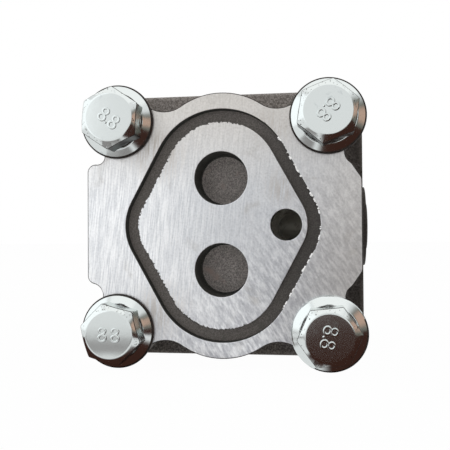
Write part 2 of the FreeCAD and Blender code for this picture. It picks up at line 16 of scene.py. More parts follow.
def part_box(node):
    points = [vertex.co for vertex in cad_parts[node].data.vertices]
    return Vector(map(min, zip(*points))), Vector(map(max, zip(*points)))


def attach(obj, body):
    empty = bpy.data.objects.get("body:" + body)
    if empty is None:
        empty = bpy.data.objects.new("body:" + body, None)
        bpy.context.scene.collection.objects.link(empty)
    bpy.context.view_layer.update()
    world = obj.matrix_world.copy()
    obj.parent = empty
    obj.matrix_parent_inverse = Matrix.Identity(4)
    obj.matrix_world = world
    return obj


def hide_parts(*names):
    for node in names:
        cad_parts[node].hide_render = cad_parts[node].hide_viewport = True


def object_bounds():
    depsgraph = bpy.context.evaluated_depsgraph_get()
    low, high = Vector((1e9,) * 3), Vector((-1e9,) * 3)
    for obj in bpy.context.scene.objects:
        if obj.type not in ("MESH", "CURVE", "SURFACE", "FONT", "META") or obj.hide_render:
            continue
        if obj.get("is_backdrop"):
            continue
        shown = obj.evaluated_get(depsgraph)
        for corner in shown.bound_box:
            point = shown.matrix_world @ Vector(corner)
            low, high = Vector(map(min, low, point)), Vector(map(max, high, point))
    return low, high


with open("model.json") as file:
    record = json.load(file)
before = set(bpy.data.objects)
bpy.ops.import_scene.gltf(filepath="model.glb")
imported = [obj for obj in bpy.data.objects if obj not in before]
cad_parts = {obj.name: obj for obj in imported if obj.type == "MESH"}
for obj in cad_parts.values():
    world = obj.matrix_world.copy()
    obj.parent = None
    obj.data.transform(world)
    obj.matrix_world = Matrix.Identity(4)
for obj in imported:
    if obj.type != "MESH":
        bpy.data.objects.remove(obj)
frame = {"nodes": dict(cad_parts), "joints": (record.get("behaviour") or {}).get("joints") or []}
cad_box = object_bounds()
MM = 0.001

# %% [markdown]
# Places on the pump are read from the frame instead of being typed again. The bolt at the top right gives
# the bolt square, the rear cover's lowest Y is the rear face, where the bolt flanges bear, and the joint
# of the drive gives the height of the shafts.

# %% Places read from the frame
CORNERS = {"top_left": (-1, 1), "top_right": (1, 1), "bottom_left": (-1, -1), "bottom_right": (1, -1)}
joint_at = {joint["name"]: Vector(joint["pos_m"]) for joint in frame["joints"]}
bolt_low, bolt_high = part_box("flange_bolt_top_right")
BOLT_HALF = (bolt_low.x + bolt_high.x) / 2
REAR_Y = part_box("rear_cover")[0].y
SHAFT_Z = joint_at["drive_spin"].z
FLOOR_Z = cad_box[0].z
print("bolt square %.1f mm, rear face at y %.1f mm, shafts at z +-%.1f mm"
      % (2 * BOLT_HALF / MM, REAR_Y / MM, SHAFT_Z / MM))

# %% [markdown]
# The picture is taken close to the rear face, a little to its right, with the camera turned back to the
# left. That is why the walls on the left of each recess show and those on the right don't. The lens and
# the place were worked out from the four bolts and the edges of the face, for a square picture.

# %% Camera
CAMERA_AT = Vector((23.74, -222.2, -2.6)) * MM
CAMERA_PITCH = 0.955
CAMERA_ROLL = 0.3671
CAMERA_YAW = 8.2022
FOCAL_PIXELS = 670.0
PICTURE_PIXELS = 450.0
SENSOR_MM = 36.0


def rotation(degrees, axis):
    """Turn about an axis, as a matrix."""
    return Matrix.Rotation(math.radians(degrees), 4, axis)


scene = bpy.context.scene
camera_data = bpy.data.cameras.new("portrait_camera")
camera = bpy.data.objects.new("portrait_camera", camera_data)
scene.collection.objects.link(camera)
camera_data.sensor_width = SENSOR_MM
camera_data.lens = FOCAL_PIXELS * SENSOR_MM / PICTURE_PIXELS
camera_data.clip_start = 0.005
turn = rotation(CAMERA_YAW, "Z") @ rotation(CAMERA_PITCH, "X") @ rotation(CAMERA_ROLL, "Y")
camera.matrix_world = Matrix.Translation(CAMERA_AT) @ turn @ rotation(90, "X")
scene.camera = camera
print("lens %.1f mm at %.0f mm from the rear face" % (camera_data.lens, (REAR_Y - CAMERA_AT.y) / MM))

# %% [markdown]
# Every node tree below is built with the same small helpers, and each gives the socket that carries its
# result. A socket knows its own tree, so sums such as plus(times(grain, 0.2), 0.5) need no other word.
# Effects that several materials share, such as cast grain, are node groups with named sockets, and each
# material uses them at its own strength.

# %% Node helpers
Socket = bpy.types.NodeSocket


def feed(node, inputs):
    """Sets each input of a node to a value, or links it to the socket that feeds it."""
    for name, value in inputs.items():
        if isinstance(value, Socket):
            node.id_data.links.new(value, node.inputs[name])
        else:
            node.inputs[name].default_value = value
    return node


def add_node(tree, kind, inputs=None, **settings):
    """Adds a node with its settings and feeds it."""
    node = tree.nodes.new(kind)
    for name, value in settings.items():
        setattr(node, name, value)
    return feed(node, inputs or {})


def output_of(source, kind, inputs, output=0, **settings):
    """Adds a node to the tree of a socket and gives one of the node's outputs."""
    return add_node(source.id_data, kind, inputs, **settings).outputs[output]


def calc(operation, first, second=0.0):
    """Adds a Math node."""
    source = first if isinstance(first, Socket) else second
    return output_of(source, "ShaderNodeMath", {0: first, 1: second}, operation=operation)


def plus(first, second):
    """Sum."""
    return calc("ADD", first, second)


def minus(first, second):
    """Difference."""
    return calc("SUBTRACT", first, second)


def times(first, second):
    """Product."""
    return calc("MULTIPLY", first, second)


def larger(first, second):
    """The larger of two values."""
    return calc("MAXIMUM", first, second)


def length_of(first, second):
    """Length of a line from what it covers along two axes."""
    return calc("SQRT", plus(times(first, first), times(second, second)))


def ramp(value, low, high):
    """Maps low..high to 0..1 smoothly."""
    inputs = {"Value": value, "From Min": low, "From Max": high}
    return output_of(value, "ShaderNodeMapRange", inputs, "Result", interpolation_type="SMOOTHSTEP")


def blend(share, first, second):
    """Mixes two numbers."""
    return output_of(share, "ShaderNodeMix", {0: share, 2: first, 3: second})


def layered(colour, *layers):
    """Lays colours over a colour, one after another. A layer is its share and its colour."""
    for share, over in layers:
        # a Mix node takes its two colours in inputs 6 and 7, and gives the mixed one in output 2
        first, second = (value if isinstance(value, Socket) else (*value, 1.0) for value in (colour, over))
        colour = output_of(share, "ShaderNodeMix", {0: share, 6: first, 7: second}, 2, data_type="RGBA")
    return colour


def place_in(tree):
    """Object coordinates in metres."""
    return add_node(tree, "ShaderNodeTexCoord").outputs["Object"]


def axes_of(vector):
    """X, Y and Z of a vector."""
    return add_node(vector.id_data, "ShaderNodeSeparateXYZ", {0: vector}).outputs


def stretched(vector, factors):
    """A vector times another, axis by axis."""
    return output_of(vector, "ShaderNodeVectorMath", {0: vector, 1: factors}, operation="MULTIPLY")


def leaning(vector, angle):
    """A vector turned about Y."""
    inputs = {"Vector": vector, "Angle": angle}
    return output_of(vector, "ShaderNodeVectorRotate", inputs, rotation_type="Y_AXIS")


def noise(vector, scale, detail, rough=0.5, warp=0.0):
    """Noise from 0 to 1."""
    inputs = {"Vector": vector, "Scale": scale, "Detail": detail, "Roughness": rough, "Distortion": warp}
    return output_of(vector, "ShaderNodeTexNoise", inputs, "Fac")


def bumped(height, strength, depth_mm):
    """Surface direction over a height from 0 to 1."""
    inputs = {"Height": height, "Strength": strength, "Distance": depth_mm * MM}
    return output_of(height, "ShaderNodeBump", inputs, "Normal")


def open_group(name, inputs, outputs):
    """Starts a node group of float sockets. Gives its tree, its input sockets and its output node."""
    tree = bpy.data.node_groups.new(name, "ShaderNodeTree")
    for socket_name, value in inputs.items():
        socket = tree.interface.new_socket(name=socket_name, in_out="INPUT", socket_type="NodeSocketFloat")
        socket.default_value = value
    for socket_name in outputs:
        tree.interface.new_socket(name=socket_name, in_out="OUTPUT", socket_type="NodeSocketFloat")
    return tree, add_node(tree, "NodeGroupInput").outputs, add_node(tree, "NodeGroupOutput")


def use_group(tree, group, **values):
    """Places a node group and gives its outputs. Underscores in the value names stand for blanks."""
    node = add_node(tree, "ShaderNodeGroup", node_tree=group)
    return feed(node, {name.replace("_", " "): value for name, value in values.items()}).outputs


def fresh_tree(holder):
    """Empties the node tree of a material or a world and gives it."""
    holder.use_nodes = True
    holder.node_tree.nodes.clear()
    return holder.node_tree


def open_material(name):
    """Starts a material with one Principled shader."""
    material = bpy.data.materials.new(name)
    tree = fresh_tree(material)
    shader = add_node(tree, "ShaderNodeBsdfPrincipled")
    add_node(tree, "ShaderNodeOutputMaterial", {"Surface": shader.outputs["BSDF"]})
    return material, tree, shader


print("node helpers ready")

# %% [markdown]
# The studio is plain: an even pale world and a pale floor under the pump. The camera and the metal see
# both as white, and the floor still keeps a faint shadow. What lights matt surfaces is set apart from
# that by Light Path, so that a white background doesn't wash the castings out.

# %% World and floor
WORLD_LIGHT = 0.51
FLOOR_WHITE = 0.982
WHITE = (1, 1, 1, 1)


def seen_share(tree):
    """1 for camera, mirrored and clear rays, 0 for the light that matt surfaces gather."""
    rays = add_node(tree, "ShaderNodeLightPath").outputs
    return larger(larger(rays["Is Camera Ray"], rays["Is Glossy Ray"]), rays["Is Transmission Ray"])


scene.view_settings.view_transform = "Standard"
scene.world = bpy.data.worlds.new("pale_studio")
tree = fresh_tree(scene.world)
strength = plus(times(seen_share(tree), 1.0 - WORLD_LIGHT), WORLD_LIGHT)
backdrop = add_node(tree, "ShaderNodeBackground", {"Color": WHITE, "Strength": strength})
add_node(tree, "ShaderNodeOutputWorld", {"Surface": backdrop.outputs[0]})

bpy.ops.object.select_all(action="DESELECT")
bpy.ops.mesh.primitive_plane_add(size=6.0, location=(0, 0, FLOOR_Z))
floor = bpy.context.object
floor.name = "studio_floor"
floor.data.materials.append(bpy.data.materials.new("pale_floor"))
tree = fresh_tree(floor.data.materials[0])
matt = add_node(tree, "ShaderNodeBsdfDiffuse", {"Color": (0.9, 0.9, 0.9, 1)})
white = add_node(tree, "ShaderNodeEmission", {"Color": WHITE, "Strength": 1.0})
share = times(seen_share(tree), FLOOR_WHITE)
both = add_node(tree, "ShaderNodeMixShader", {0: share, 1: matt.outputs[0], 2: white.outputs[0]})
add_node(tree, "ShaderNodeOutputMaterial", {"Surface": both.outputs[0]})
floor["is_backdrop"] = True
print("floor at z %.2f mm" % (FLOOR_Z / MM))

# %% [markdown]
# A photographer shapes what polished metal reflects with cards. Here a dark brown one lies on the floor
# in front of the pump and to its right: the bolt at the bottom right mirrors it in its flat top, and
# every flange in its lower slope. A taller one stands on the right, olive grey with a warm patch, and
# colours the right sides of the heads. The cards show in reflections only and give no light or shadow.
# They fade out softly, as a room does in a rough surface.

# %% Reflection cards
PALE = (0.98, 0.98, 0.98)
DARK_BROWN = (0.052, 0.022, 0.016)
FAR_BROWN = (0.33, 0.3, 0.28)
OLIVE_GREY = (0.2, 0.2, 0.175)
WARM = (0.66, 0.44, 0.34)


def new_piece(name, mesh):
    """Adds a mesh to the scene as a piece."""
    piece = bpy.data.objects.new(name, mesh)
    scene.collection.objects.link(piece)
    return piece


def reflected_card(name, corners, paint):
    """Flat card that only reflections see. Paint takes X, Y and Z in mm, and gives the colour."""
    mesh = bpy.data.meshes.new(name)
    mesh.from_pydata([Vector(corner) * MM for corner in corners], [], [range(len(corners))])
    card = new_piece(name, mesh)
    mesh.materials.append(bpy.data.materials.new(name))
    tree = fresh_tree(mesh.materials[0])
    in_mm = add_node(tree, "ShaderNodeVectorMath", {0: place_in(tree), "Scale": 1 / MM}, operation="SCALE")
    colour = paint(*axes_of(in_mm.outputs[0]))
    glow = add_node(tree, "ShaderNodeEmission", {"Color": colour, "Strength": 1.0})
    add_node(tree, "ShaderNodeOutputMaterial", {"Surface": glow.outputs[0]})
    card.visible_camera = False
    card.visible_diffuse = False
    card.visible_shadow = False
    card.visible_transmission = False
    card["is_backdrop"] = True


def floor_paint(x, y, z):
    """Dark on the right, close under the flanges and in a patch on the left, and paler further off."""
    ahead = times(y, -1.0)
    dark = times(ramp(x, -1.0, 16.0), ramp(ahead, 79.0, 89.0))
    for near_x, near_ahead in ((22.0, 62.0), (13.0, 70.5)):
        corner = times(ramp(x, near_x, near_x + 4.0), ramp(ahead, near_ahead, near_ahead + 2.0))
        dark = larger(dark, corner)
    patch = times(times(ramp(y, -140.0, -110.0), ramp(ahead, 92.0, 99.0)), 0.7)
    patch = times(larger(patch, ramp(y, -80.0, -73.0)), ramp(times(x, -1.0), 2.0, 12.0))
    # painted contact shade: a dark strip close under the flanges, mirrored in their lower slopes
    painted_contact_shade = times(ramp(y, -73.0, -70.0), minus(1.0, ramp(x, 2.0, 8.0)))
    brown = layered(DARK_BROWN, (ramp(ahead, 260.0, 520.0), FAR_BROWN))
    return layered(PALE, (larger(larger(dark, patch), painted_contact_shade), brown))


def side_paint(x, y, z):
    """Olive grey with a warm patch, fading into the pale room above."""
    across = times(plus(y, 225.0), 1 / 130.0)
    above = times(plus(z, -60.0), 1 / 60.0)
    away = plus(times(across, across), times(above, above))
    warm = minus(1.0, ramp(away, 0.3, 1.9))
    return layered(OLIVE_GREY, (warm, WARM), (ramp(z, 125.0, 230.0), PALE))


card_z = FLOOR_Z / MM + 0.05
floor_corners = [(x, y, card_z) for x, y in ((-70, -62), (-70, -800), (700, -800), (700, -62))]
side_corners = [(260, y, z) for y, z in ((-470, card_z), (-30, card_z), (-30, 240), (-470, 240))]
reflected_card("dark_floor_card", floor_corners, floor_paint)
reflected_card("warm_side_card", side_corners, side_paint)
print("two reflection cards")

# %% [markdown]
# Two large soft lamps light the pump itself. The cool one stands far to the left, so the left walls of
# the groove and the pockets stay in shadow. The warmer one hangs nearly straight above and lights the
# tops of the castings. Both are so large that a bolt flange mirrors them softly, without a hot spot, and
# both are left out of what a camera sees.

# %% Lamps
def soft_lamp(name, at, size, watts, colour):
    """Square area lamp aimed at the middle of the rear face."""
    data = bpy.data.lights.new(name, "AREA")
    data.size = size
    data.energy = watts
    data.color = colour
    lamp = bpy.data.objects.new(name, data)
    scene.collection.objects.link(lamp)
    lamp.location = at
    lamp.visible_camera = False
    lamp.rotation_euler = (Vector((0, REAR_Y, 0)) - Vector(at)).to_track_quat("-Z", "Y").to_euler()


soft_lamp("left_lamp", (-0.5, -0.36, 0.08), 0.85, 1.0, (0.93, 0.97, 1.0))
soft_lamp("top_lamp", (0.02, -0.12, 0.62), 1.0, 0.8, (1.0, 0.97, 0.93))
print("two soft lamps")

# %% [markdown]
# Cast iron that comes out of a sand mould is granular: dark and light grains a fraction of a millimetre
# across, with pits between them. The grain group gives both from noise at two sizes on Object
# coordinates, in metres, so a grain has the same size on every casting.

# %% Cast grain group
cast_grain, given, result = open_group("cast_grain", {"Grain mm": 0.35}, ["Grain", "Patch", "Height"])
place = place_in(cast_grain)
per_metre = calc("DIVIDE", 1000.0, given["Grain mm"])
cells = output_of(place, "ShaderNodeTexVoronoi", {"Vector": place, "Scale": per_metre}, "Distance")
grain = plus(times(noise(place, per_metre, 2.0, 0.6), 1.3), times(cells, -0.35))
patch = ramp(noise(place, 180.0, 3.0), 0.35, 0.65)
feed(result, {"Grain": ramp(grain, 0.2, 0.85), "Patch": patch, "Height": grain})
print("cast grain group:", len(cast_grain.nodes), "nodes")

# %% [markdown]
# A ground or milled face carries fine scratches that all run one way. Noise gives them when its space is
# squeezed across the scratch and stretched along it. The rear face was dressed by hand: the scratches
# stand almost upright on the left and lean over towards the lower right, so the group takes the lean in
# degrees, and two of them are mixed.

# %% Scratch group
sizes = {"Lean": 0.0, "Width mm": 0.22, "Length mm": 4.0}
scratches, given, result = open_group("scratches", sizes, ["Streak"])
leaned = leaning(place_in(scratches), calc("RADIANS", given["Lean"]))
across, along = (calc("DIVIDE", 1000.0, given[name]) for name in ("Width mm", "Length mm"))
squeeze = add_node(scratches, "ShaderNodeCombineXYZ", {"X": across, "Y": 300.0, "Z": along}).outputs[0]
feed(result, {"Streak": ramp(noise(stretched(leaned, squeeze), 1.0, 3.0, 0.55), 0.3, 0.7)})
print("scratch group:", len(scratches.nodes), "nodes")

# %% [markdown]
# Thumb marks, dried coolant and grey smears lie on every machined part. They are soft patches a few
# millimetres across, so a low noise with its own contrast is enough. Its size and its spread are the two
# inputs.

# %% Smudge group
smudges, given, result = open_group("smudges", {"Size mm": 8.0, "Spread": 0.5}, ["Smudge"])
cloud = noise(place_in(smudges), calc("DIVIDE", 1000.0, given["Size mm"]), 4.0, 0.62, 0.6)
low = minus(0.82, times(given["Spread"], 0.4))
feed(result, {"Smudge": ramp(cloud, low, plus(low, 0.16))})
print("smudge group:", len(smudges.nodes), "nodes")

# %% [markdown]
# The seal groove was cast in, and the milled face ends raggedly along it: iron is brittle, and small
# flakes break out of the edge. To put that wear only there, this group works out how far a point lies
# outside the groove's outer edge, in mm. The groove is a belt round four circles, so one quarter is
# enough, with the others folded onto it.

# %% Groove distance group
GROOVE_LOBE_R = 16.95
GROOVE_SIDE_R = 12.5
GROOVE_SIDE_X = 23.55 - GROOVE_SIDE_R
GROOVE_WIDTH = 3.0
GROOVE_TURN = 0.4
lobe_z = SHAFT_Z / MM
centres_apart = math.hypot(GROOVE_SIDE_X, lobe_z)
tangent = math.acos((GROOVE_LOBE_R - GROOVE_SIDE_R) / centres_apart) - math.atan2(lobe_z, GROOVE_SIDE_X)
normal_x, normal_z = math.cos(tangent), math.sin(tangent)
flank_at = GROOVE_SIDE_X * normal_x + GROOVE_SIDE_R

groove_distance, given, result = open_group("groove_distance", {}, ["Outside mm"])
x, y, z = axes_of(leaning(place_in(groove_distance), math.radians(GROOVE_TURN)))
folded_x, folded_z = (times(calc("ABSOLUTE", axis), 1 / MM) for axis in (x, z))


def circle_distance(centre_x, centre_z, radius):
    """Distance outside one of the belt's circles."""
    return minus(length_of(minus(folded_x, centre_x), minus(folded_z, centre_z)), radius)


def along_flank(x_share, z_share):
    """Sum of the folded coordinates, each times its share."""
    return plus(times(folded_x, x_share), times(folded_z, z_share))


travel = along_flank(-normal_z, normal_x)
past_lobe = calc("GREATER_THAN", travel, lobe_z * normal_x)
before_side = calc("LESS_THAN", travel, -GROOVE_SIDE_X * normal_z)
flank = minus(along_flank(normal_x, normal_z), flank_at)
outside = blend(past_lobe, flank, circle_distance(0.0, lobe_z, GROOVE_LOBE_R))
feed(result, {0: blend(before_side, outside, circle_distance(GROOVE_SIDE_X, 0.0, GROOVE_SIDE_R))})
print("groove flank leans %.1f degrees" % math.degrees(tangent))

# %% [markdown]
# The skin of the castings is left as it came from the mould: dark grey with a brown cast, rough all over,
# a little paler where the blast has hit it. Its upper part is painted paler, a painted light from above,
# and its right is painted darker, a painted shade.

# %% Cast skin material
cast_skin, tree, shader = open_material("cast_skin")
grain = use_group(tree, cast_grain, Grain_mm=0.38)
x, y, z = axes_of(place_in(tree))
fresh = layered((0.07, 0.062, 0.057), (grain["Grain"], (0.3, 0.275, 0.26)))
worn = layered((0.09, 0.077, 0.065), (grain["Grain"], (0.24, 0.215, 0.19)))
dust_and_top_light = layered((0.26, 0.235, 0.215), (grain["Grain"], (0.62, 0.57, 0.54)))
# painted light: the upper part of the skin is paler
top_light_share = times(ramp(z, 8 * MM, 30 * MM), 0.52)
# painted shade: the right of the skin is darker
darker_right_share = times(ramp(x, 27 * MM, 33.5 * MM), 0.84)
skin = layered(fresh, (grain["Patch"], worn), (top_light_share, dust_and_top_light), (darker_right_share, (0.035, 0.028, 0.022)))
feed(shader, {"Base Color": skin, "Metallic": 0.2, "Roughness": plus(times(grain["Grain"], -0.2), 0.78),
              "Normal": bumped(grain["Height"], 0.7, 0.2)})
print("material:", cast_skin.name)

# %% [markdown]
# The floors of the two pockets are painted lighter than the skin outside, a painted light down in them,
# with fine even grains and a thin bloom of rust. The walls of the pockets and of the groove are the
# reverse, painted nearly black as the shade in these recesses. The groove's floor lies between the two,
# with a finer grain. All use the same grain group.

# %% Pocket floor and dark wall materials
pocket_floor, tree, shader = open_material("pocket_floor")
grain = use_group(tree, cast_grain, Grain_mm=0.3)
bloom = use_group(tree, smudges, Size_mm=5.0, Spread=0.6)[0]
# painted light: the pocket floors are lighter than the skin, with a bloom of rust
rust_and_painted_light = layered((0.27, 0.245, 0.23), (grain["Grain"], (0.68, 0.62, 0.59)), (bloom, (0.5, 0.4, 0.36)))
feed(shader, {"Base Color": rust_and_painted_light, "Metallic": 0.1, "Roughness": plus(times(grain["Grain"], -0.15), 0.75),
              "Normal": bumped(grain["Height"], 0.5, 0.15)})

dark_wall, tree, shader = open_material("dark_wall")
grain = use_group(tree, cast_grain, Grain_mm=0.3)
# painted shade: the walls of pockets and groove are nearly black
feed(shader, {"Base Color": layered((0.03, 0.032, 0.029), (grain["Grain"], (0.12, 0.12, 0.107))),
              "Roughness": plus(times(grain["Grain"], 0.2), 0.55), "Specular IOR Level": 0.3,
              "Normal": bumped(grain["Height"], 0.4, 0.15)})

groove_floor, tree, shader = open_material("groove_floor")
grain = use_group(tree, cast_grain, Grain_mm=0.26)
film = use_group(tree, smudges, Size_mm=6.0, Spread=0.6)[0]
darker_right_share = times(ramp(axes_of(place_in(tree))["X"], 6 * MM, 20 * MM), 0.5)
filmed = layered((0.15, 0.133, 0.12), (grain["Grain"], (0.31, 0.28, 0.257)), (film, (0.15, 0.14, 0.125)))
feed(shader, {"Base Color": layered(filmed, (darker_right_share, (0.05, 0.048, 0.044))), "Roughness": 0.6,
              "Normal": bumped(grain["Height"], 0.35, 0.1)})
print("materials:", pocket_floor.name, dark_wall.name, groove_floor.name)

# %% [markdown]
# The small deep hole is drilled. A drill leaves bright spiral marks on the wall, and they carry some
# light down the hole, so its wall is metal where the pockets are cast skin. Old oil darkens it near the
# mouth.

# %% Drilled hole material
drilled_iron, tree, shader = open_material("drilled_iron")
place = place_in(tree)
mark = noise(stretched(place, (90.0, 2600.0, 90.0)), 1.0, 3.0)
bright = layered((0.86, 0.85, 0.8), (ramp(mark, 0.35, 0.65), (0.97, 0.96, 0.92)))
below_mouth = ramp(axes_of(place)["Y"], REAR_Y + MM, REAR_Y + 5 * MM)
feed(shader, {"Base Color": layered((0.15, 0.148, 0.135), (below_mouth, bright)), "Metallic": 1.0,
              "Roughness": plus(times(mark, 0.2), 0.15), "Normal": bumped(mark, 0.4, 0.08)})
print("material:", drilled_iron.name)

# %% [markdown]
# The rear face is milled and then dressed by hand, which leaves iron bright. Its scratches change
# direction from left to right and grow coarser, specks are graphite in the iron, and brown-grey smears
# lie along the top. The right of the face and its middle are painted darker, a painted reflection of a
# darker room on that side, and two brown-grey patches lie on the right. Beside the two left bolts the
# patches are painted shadows of the flanges. Within half a millimetre of the groove the face breaks up
# into dark chips: along the inner edge on the left, where the cutter ran out of the metal, and along the
# outer edge on the right.

# %% Dressed face material
BRIGHT_IRON = (0.98, 0.99, 1.0)
# X, Z and radius of each brown-grey patch in mm, and its strength. The first two are painted flange
# shadows.
PATCHES_AND_FLANGE_SHADOWS = ((-15.5, 17.5, 9, 0.75), (-15, -20, 9, 0.6), (15, 9, 6, 0.5), (12, 23, 7, 0.4))

dressed_iron, tree, shader = open_material("dressed_iron")
place = place_in(tree)
x, y, z = axes_of(place)
lower_right = minus(x, z)
upright = use_group(tree, scratches, Lean=-6.0, Width_mm=0.34, Length_mm=6.0)[0]
slanting = use_group(tree, scratches, Lean=24.0, Width_mm=0.34, Length_mm=3.5)[0]
coarse = use_group(tree, scratches, Lean=32.0, Width_mm=0.75, Length_mm=2.6)[0]
smear = use_group(tree, smudges, Size_mm=9.0, Spread=0.55)[0]
fine_smear = use_group(tree, smudges, Size_mm=2.2, Spread=0.35)[0]
speck = use_group(tree, cast_grain, Grain_mm=0.5)["Grain"]
streak = blend(ramp(lower_right, 0.0, 50 * MM), upright, slanting)


def spot_share(spot_x, spot_z, inner, outer):
    """Soft mask round a spot of the face: 1 within the inner radius, 0 beyond the outer, all in mm."""
    away = length_of(minus(x, spot_x * MM), minus(z, spot_z * MM))
    return minus(1.0, ramp(away, inner * MM, outer * MM))


coarse_share = times(ramp(lower_right, -4 * MM, 30 * MM), 0.75)
# painted reflection: the face is darker towards the right; along the top it is grease
grease_and_painted_reflection = larger(times(ramp(z, 4 * MM, 32 * MM), 0.8), times(ramp(x, 12 * MM, 34 * MM), 0.5))
# the spot round X 11, Z 3 mm darkens the middle of the face: painted reflection
face = layered((0.61, 0.63, 0.66), (streak, BRIGHT_IRON),
               (times(spot_share(11, 3, 7, 34), 0.57), (0.44, 0.46, 0.49)),
               (times(coarse, times(coarse_share, 0.5)), BRIGHT_IRON),
               (times(minus(1.0, coarse), coarse_share), (0.33, 0.34, 0.38)),
               (grease_and_painted_reflection, (0.53, 0.495, 0.45)),
               (times(minus(1.0, speck), 0.16), (0.96, 0.97, 0.98)),
               (times(speck, 0.16), (0.36, 0.36, 0.35)),
               (times(smear, 0.4), (0.42, 0.4, 0.37)),
               (times(fine_smear, 0.7), (0.3, 0.28, 0.25)))
# the first two patches are painted shadows of the left flanges
for mark_x, mark_z, radius, share in PATCHES_AND_FLANGE_SHADOWS:
    patch_and_shadow_share = times(spot_share(mark_x, mark_z, 1, radius), share)
    face = layered(face, (times(patch_and_shadow_share, ramp(streak, 0.1, 0.95)), (0.36, 0.32, 0.28)))

outer_edge = use_group(tree, groove_distance)[0]
inner_edge = plus(outer_edge, GROOVE_WIDTH)
crumb_mm = times(minus(noise(place, 1700.0, 2.0), 0.5), 1.7)
inner_chip = times(ramp(plus(inner_edge, crumb_mm), -0.28, -0.16), calc("LESS_THAN", inner_edge, 0.4))
outer_chip = times(ramp(minus(crumb_mm, outer_edge), 0.0, 0.1), calc("GREATER_THAN", outer_edge, -0.4))
chipped = larger(times(inner_chip, calc("LESS_THAN", x, 6 * MM)),
                 times(outer_chip, calc("GREATER_THAN", x, 8 * MM)))
chipped = times(chipped, calc("LESS_THAN", y, REAR_Y + MM))
feed(shader, {"Base Color": layered(face, (chipped, (0.07, 0.065, 0.058))),
              "Metallic": minus(1.0, times(chipped, 0.8)),
              "Roughness": plus(plus(times(streak, 0.1), 0.36), times(smear, 0.1)),
              "Normal": bumped(minus(streak, times(chipped, 3.0)), 0.4, 0.02)})
print("material:", dressed_iron.name)

# %% [markdown]
# The bolts are bright zinc plated: a thin layer with a cool tint over a forged head. It mirrors the room
# softly, broken by fine dents, by grey handling smears, and by black pits along the cone of the head,
# where the plate is knocked. The pits need the distance from the bolt's own axis: the four bolts stand on
# a square, so folding X and Z by half its side gives that distance for all four at once.

# %% Zinc plate material
CONE_FROM_Y = REAR_Y - 6.7 * MM

zinc_plate, tree, shader = open_material("zinc_plate")
place = place_in(tree)
x, y, z = axes_of(place)
off_axis = length_of(*(minus(calc("ABSOLUTE", axis), BOLT_HALF) for axis in (x, z)))
on_cone = times(ramp(off_axis, 5.4 * MM, 5.9 * MM), calc("LESS_THAN", y, CONE_FROM_Y))
smear = use_group(tree, smudges, Size_mm=3.5, Spread=0.5)[0]
pits = use_group(tree, cast_grain, Grain_mm=0.42)
pit_level = plus(plus(pits["Height"], times(on_cone, 0.26)), times(pits["Patch"], 0.07))
pit = ramp(pit_level, 0.96, 1.03)
dents = noise(place, 420.0, 3.0)
plated = layered((0.66, 0.7, 0.695), (smear, (0.52, 0.56, 0.565)), (pit, (0.07, 0.065, 0.06)))
feed(shader, {"Base Color": plated, "Metallic": 1.0,
              "Roughness": plus(plus(times(smear, 0.08), 0.15), times(pit, 0.3)),
              "Normal": bumped(minus(dents, times(pit, 0.6)), 0.2, 0.06)})
print("material:", zinc_plate.name)

# %% [markdown]
# Round the rim of each flange a thin dark line is painted, dull and brownish. This painted shade is what
# sets a bright bolt off from a bright background, so the rim has a material of its own. The same painted
# shade lies along the edge of the cone, in the crease at the foot of the hexagon and on the lower right
# sides of the digits, and the undersides of the hexagon are painted nearly black, as shade. The passage
# at the bottom of the deep hole is oily, rough from the drill, and it sends an even dull light
# back up the hole.

# %% Painted dark edge, oily metal and painted shade zinc materials
# painted shade: dark dull lines round the rims, along the hexagon's edges and beside the digits
painted_dark_edge, tree, shader = open_material("painted_dark_edge")
grain = use_group(tree, cast_grain, Grain_mm=0.5)["Grain"]
film = use_group(tree, smudges, Size_mm=2.5, Spread=0.6)[0]
brown = layered((0.014, 0.01, 0.008), (grain, (0.05, 0.04, 0.034)), (film, (0.07, 0.035, 0.02)))
feed(shader, {"Base Color": brown, "Metallic": 0.0, "Specular IOR Level": 0.2,
              "Roughness": plus(times(grain, 0.2), 0.55)})


def oily_material(name, clean, dark, rough):
    """A metal under a film of oil, which gathers in smudges."""
    material, tree, shader = open_material(name)
    film = use_group(tree, smudges, Size_mm=2.0, Spread=0.6)[0]
    feed(shader, {"Base Color": layered(clean, (film, dark)), "Metallic": 1.0,
                  "Roughness": plus(times(film, 0.2), rough)})
    return material


oily_metal = oily_material("oily_metal", (0.7, 0.685, 0.64), (0.54, 0.52, 0.475), 0.58)
# painted shade: nearly black zinc on the undersides of the hexagon
painted_shade_zinc = oily_material("painted_shade_zinc", (0.085, 0.09, 0.09), (0.045, 0.042, 0.04), 0.3)
print("materials:", painted_dark_edge.name, oily_metal.name, painted_shade_zinc.name)

# %% [markdown]
# Inside and at the drive end there are four more finishes. Shafts, gears, keys and dowels are hardened
# steel, ground with fine rings round their axis. The bushes and wear plates are turned bronze, which
# tarnishes brown in oil. The seals are black moulded rubber with a dusty sheen, and the spring parts are
# phosphated, a dull grey-black crystal. Rings and streaks come from noise that is squeezed along Y and
# stretched across it.

# %% Steel, bronze, rubber and spring materials
def turned_metal(name, dark, light, tarnish, ring_mm, rough):
    """Metal with fine turning rings and a patchy tarnish."""
    material, tree, shader = open_material(name)
    ring = noise(stretched(place_in(tree), (60.0, 1000.0 / ring_mm, 60.0)), 1.0, 3.0)
    film = use_group(tree, smudges, Size_mm=6.0, Spread=0.5)[0]
    feed(shader, {"Base Color": layered(dark, (ramp(ring, 0.3, 0.7), light), (times(film, 0.55), tarnish)),
                  "Metallic": 1.0, "Roughness": plus(times(film, 0.15), rough),
                  "Normal": bumped(ring, 0.3, 0.03)})
    return material


